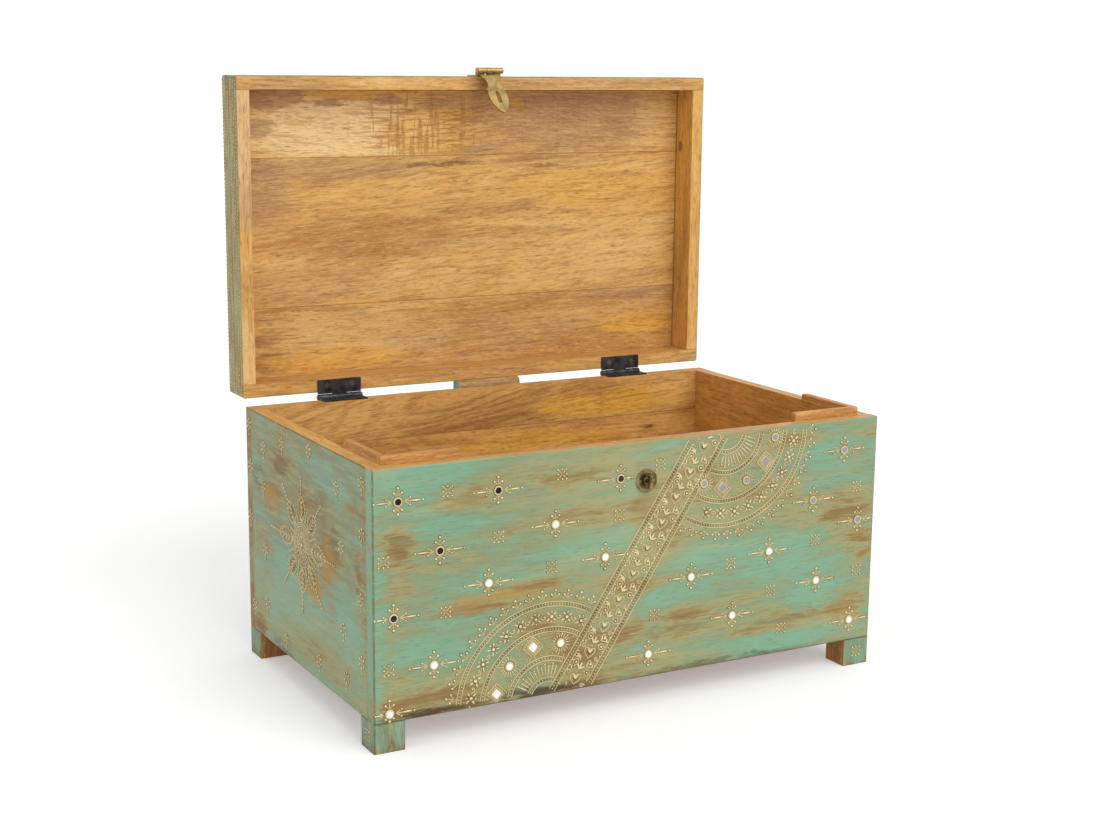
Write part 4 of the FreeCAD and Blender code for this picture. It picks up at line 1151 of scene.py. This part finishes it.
board(
    ["lid_right_rail"], "lid right rail", "z", 5.6, tones=GOLD_TONES, axes="yz", painted=("x+",),
    # painted shade: a dark strip where the rail meets the lid boards
    rubbed=LID_RUB, seams=("z-", "z+"), shade=(("y+", 3 * MM),), patches=(
        (0.6, 0.75, 0.5, 0.25, AMBER, 0.6, 0.9), (0.7, 0.3, 0.3, 0.2, WALNUT, 0.35, 0.9),
        (0.3, 0.5, 0.2, 0.2, WALNUT, 0.25, 0.9),
    ), knots_and_shade=((0.72, 0.785, 0.14, 0.02, WALNUT, 0.9, 0.7),),
)
# painted shade on the lid boards where they meet the side rails
LID_RAIL_SHADE = (("x-", 22 * MM), ("x+", 21 * MM))
board(
    ["lid_board_front"], "lid front board", "x", 6.6, painted=(*LID_OUTSIDE, "z+"), rubbed=LID_RUB,
    # painted shade also under the lid's front rail
    seams=("z-",), shade=(*LID_RAIL_SHADE, ("z+", 22 * MM)), marks=saw_marks, patches=(
        (0.25, 0.35, 0.25, 0.52, CREAM_WOOD, 0.95, 0.4), (0.24, 0.36, 0.2, 0.36, PALE_WOOD, 0.95, 0.4),
        (0.27, 0.82, 0.16, 0.11, AMBER, 0.7, 0.3),
        (0.08, 0.76, 0.07, 0.17, LILAC_BROWN, 0.8, 0.25), (0.06, 0.36, 0.03, 0.12, WALNUT, 0.55, 0.4),
        (0.2, 0.66, 0.035, 0.05, LILAC_BROWN, 0.8, 0.3), (0.32, 0.72, 0.03, 0.06, LILAC_BROWN, 0.8, 0.3),
        (0.42, 0.36, 0.1, 0.36, AMBER, 0.6, 0.5), (0.44, 0.64, 0.06, 0.08, LILAC_BROWN, 0.6, 0.5),
        (0.52, 0.7, 0.025, 0.3, WALNUT, 0.5, 0.6), (0.73, 0.45, 0.2, 0.4, LILAC_BROWN, 0.7, 0.6),
        (0.93, 0.4, 0.06, 0.4, CREAM_WOOD, 0.5, 0.8),
    ), knots_and_shade=((0.6, 0.66, 0.016, 0.06, AMBER, 0.95, 0.5),),
)
board(
    ["lid_board_middle"], "lid middle board", "x", 9.4, tones=(HAZEL, GOLDEN, CREAM_WOOD),
    painted=LID_OUTSIDE, rubbed=LID_RUB, seams=("z-", "z+"), shade=LID_RAIL_SHADE, bold=0.25, tilt=0.07, patches=(
        (0.06, 0.8, 0.06, 0.26, LILAC_BROWN, 0.7, 0.8), (0.28, 0.45, 0.2, 0.17, CHESTNUT, 0.75, 0.8),
        (0.15, 0.14, 0.16, 0.13, LILAC_BROWN, 0.5, 0.8), (0.2, 0.92, 0.2, 0.07, LILAC_BROWN, 0.6, 0.7),
        (0.52, 0.62, 0.12, 0.05, CHESTNUT, 0.45, 0.8), (0.36, 0.66, 0.1, 0.08, GOLDEN, 0.6, 0.8),
        (0.78, 0.76, 0.18, 0.12, AMBER, 0.45, 0.7), (0.62, 0.45, 0.14, 0.04, CHESTNUT, 0.5, 0.8),
        (0.8, 0.3, 0.16, 0.16, CREAM_WOOD, 0.45, 0.9), (0.86, 0.84, 0.06, 0.03, CHESTNUT, 0.6, 0.7),
        (0.44, 0.94, 0.09, 0.016, WALNUT, 0.85, 0.6), (0.66, 0.92, 0.06, 0.01, WALNUT, 0.7, 0.6),
        (0.5, 0.12, 0.4, 0.08, CREAM_WOOD, 0.4, 0.9),
    ),
)
board(
    ["lid_board_back"], "lid back board", "x", 11.2, painted=(*LID_OUTSIDE, "z-"), rubbed=LID_RUB,
    seams=("z+",), shade=LID_RAIL_SHADE, patches=(
        (0.07, 0.62, 0.04, 0.08, WALNUT, 0.7, 0.5), (0.08, 0.36, 0.04, 0.16, WALNUT, 0.65, 0.5),
        (0.22, 0.62, 0.16, 0.3, CREAM_WOOD, 0.45, 0.7), (0.2, 0.34, 0.14, 0.14, AMBER, 0.6, 0.5),
        (0.8, 0.3, 0.2, 0.3, CHESTNUT, 0.6, 0.9), (0.52, 0.55, 0.22, 0.3, LILAC_BROWN, 0.35, 0.3),
        (0.88, 0.52, 0.09, 0.14, AMBER, 0.85, 0.4), (0.66, 0.86, 0.22, 0.1, CHESTNUT, 0.5, 0.8),
        (0.12, 0.96, 0.12, 0.03, WALNUT, 0.5, 0.6),
    ),
)
board(["corner_dowels", "lid_corner_dowels"], "dowels", "y", 12.0)

# Metal and mirrors

HINGE_PARTS = ("lower_leaf", "upper_leaf", "pin")
HINGES = [f"hinge_{part}_{side}" for part in HINGE_PARTS for side in ("left", "right")]
metal("black steel", STEEL_WORN, BLACK_STEEL, HINGES, metallic=0.6)
metal("rubbed steel", STEEL_RUBBED, STEEL_WORN, ["lower_hinge_screws", "upper_hinge_screws"])
metal("aged brass", BRASS_BRIGHT, BRASS_DULL, ["hasp_plate", "hasp_plate_screws", "hasp_pin", "hasp_leaf"])
metal(
    "dark bronze", BRONZE_BRIGHT, BRONZE_DULL, ["catch_rosette"],
    patches=((0.5, 0.5, 0.36, 0.36, SOOT, 0.75, 0.3),),
)
metal("rubbed bronze", BRASS_BRIGHT, BRONZE_DULL, ["catch_turn", "catch_screws"])
metal("plain steel", STEEL_BRIGHT, STEEL_WORN, ["foot_screws", "lid_stop_screws"])
mirror_finish()


# Cone work on the outer faces

def cone_work():
    """Each layout on its side of some pieces' common box, riding on their body."""
    paste = paste_finish()
    walls = ("front_panel", "back_board_upper", "left_panel", "right_panel")
    lid = ("lid_left_rail", "lid_board_front", "lid_board_back")
    for name, layout, nodes, side, body in (
        ("cone_flowers_front", front_flowers, walls, "y-", "chest"),
        ("cone_band_front", front_band, walls, "y-", "chest"),
        ("cone_work_left", side_work, walls, "x-", "chest"),
        ("cone_work_right", side_work, walls, "x+", "chest"),
        ("cone_flower_front_foot", foot_flower, ("foot_front_right",), "y-", "chest"),
        ("cone_flower_left_foot", foot_flower, ("foot_front_left",), "x-", "chest"),
        ("cone_work_lid_left", rim_work, lid, "x-", "lid"),
        ("cone_work_lid_right", rim_work, lid, "x+", "lid"),
        ("cone_work_lid_top", lid_work, lid, "y+", "lid"),
    ):
        verts, faces, lift, pale = layout(Face(common_box(nodes), side)).mesh()
        work = piece(name, verts, faces, paste, (("lift", lift), ("pale", pale)))
        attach(work, body)


cone_work()


# Stage, light and camera

def seen_directly(tree):
    """1 for the rays that show the background itself: camera, glossy and transmission rays."""
    rays = add(tree, "LightPath").outputs
    kinds = ("Camera", "Glossy", "Transmission")
    return gathered(tree, "MAXIMUM", [rays[f"Is {kind} Ray"] for kind in kinds])


def matt(name, colour):
    """A matt finish for the stage: its material, tree and shader."""
    material, tree, shader, _ = finish(name)
    feed(tree, shader, {"Base Color": colour, "Roughness": 0.9, "Specular IOR Level": 0.0})
    return material, tree, shader


FLOOR_REACH = 30.0
FLOOR_GREY = (0.86, 0.86, 0.86)
FLOOR_GLOW = 0.3


def floor():
    """A plain pale floor that reads as white and keeps the object's shadow."""
    verts = FLOOR_REACH * np.array(((-1, -1, 0), (1, -1, 0), (1, 1, 0), (-1, 1, 0)))
    material, tree, shader = matt("pale floor", FLOOR_GREY)
    glow = calc(tree, "MULTIPLY", seen_directly(tree), FLOOR_GLOW)
    feed(tree, shader, {"Emission Color": WHITE, "Emission Strength": glow})
    piece("floor", verts, [[0, 1, 2, 3]], material)


# corners on the floor of the dark and grey sheets, a painted reflection that only the mirrors show, in
# metres, counter-clockwise from above
DARK_SHEET = ((-0.13, -0.74), (-1.6, -0.74), (-1.6, -4.0), (3.8, -4.0), (0.75, -1.43), (0.34, -1.2))
GREY_SHEET = ((0.76, -0.9), (0.76, -1.42), (3.85, -4.0), (6.0, -4.0), (6.0, -0.9))
DARK_SHEET_GREY, PALE_SHEET_GREY = 0.03, 0.42


def sheet(name, corners, grey):
    """A sheet on the floor before the chest that shows only in its mirrors: a painted reflection that darkens
    what they reflect.
    """
    verts = np.array([(*corner, MM) for corner in corners])
    material, _, _ = matt(name, (grey, grey, 1.1 * grey))
    card = piece(name, verts, [list(range(len(corners)))], material)
    card.visible_camera = False
    card.visible_diffuse = False
    card.visible_shadow = False


ROOM_LEVEL = 0.72
LAMP_LEVEL = 1.15
LAMP_SPREAD_DEGREES = 45
LAMP_WAY = (-0.2, 1.0, -0.85)


def light():
    """A pale room, white where it is seen, and one broad soft lamp from the front right."""
    world = bpy.data.worlds.new("pale room")
    bpy.context.scene.world = world
    world.use_nodes = True
    tree = world.node_tree
    level = between(tree, seen_directly(tree), ROOM_LEVEL, 1.0)
    feed(tree, tree.nodes["Background"], {"Color": WHITE, "Strength": level})
    lamp = bpy.data.lights.new("soft lamp", "SUN")
    lamp.energy = LAMP_LEVEL
    lamp.angle = math.radians(LAMP_SPREAD_DEGREES)
    sun = in_scene("soft lamp", lamp)
    sun.rotation_euler = Vector(LAMP_WAY).to_track_quat("-Z", "Y").to_euler()


# The camera: fitted to the photo's frame, in its pixels and in degrees

FRAME_WIDTH_PIXELS = 1100
FOCAL_PIXELS = 1782.4
SENSOR_MM = 36.0
AZIMUTH, ELEVATION, ROLL = -28.885, 11.069, 0.551
CAMERA_AT = (-1.253, -2.26915, 0.8771)


def camera():
    """A camera whose axes are right, up and back, turned a little about its own line of sight."""
    azimuth, elevation, roll = (math.radians(angle) for angle in (AZIMUTH, ELEVATION, ROLL))
    right = Vector((math.cos(azimuth), math.sin(azimuth), 0))
    level = Vector((math.sin(azimuth), -math.cos(azimuth), 0))
    back = level * math.cos(elevation) + Vector((0, 0, math.sin(elevation)))
    up = back.cross(right)
    axes = (right * math.cos(roll) + up * math.sin(roll), up * math.cos(roll) - right * math.sin(roll), back)
    lens = bpy.data.cameras.new("camera")
    lens.sensor_fit = "HORIZONTAL"
    lens.sensor_width = SENSOR_MM
    lens.lens = SENSOR_MM * FOCAL_PIXELS / FRAME_WIDTH_PIXELS
    eye = in_scene("camera", lens)
    eye.matrix_world = Matrix.Translation(CAMERA_AT) @ Matrix(axes).transposed().to_4x4()
    bpy.context.scene.camera = eye


floor()
sheet("dark_sheet", DARK_SHEET, DARK_SHEET_GREY)
sheet("grey_sheet", GREY_SHEET, PALE_SHEET_GREY)
light()
camera()
bpy.context.scene.view_settings.view_transform = "Standard"
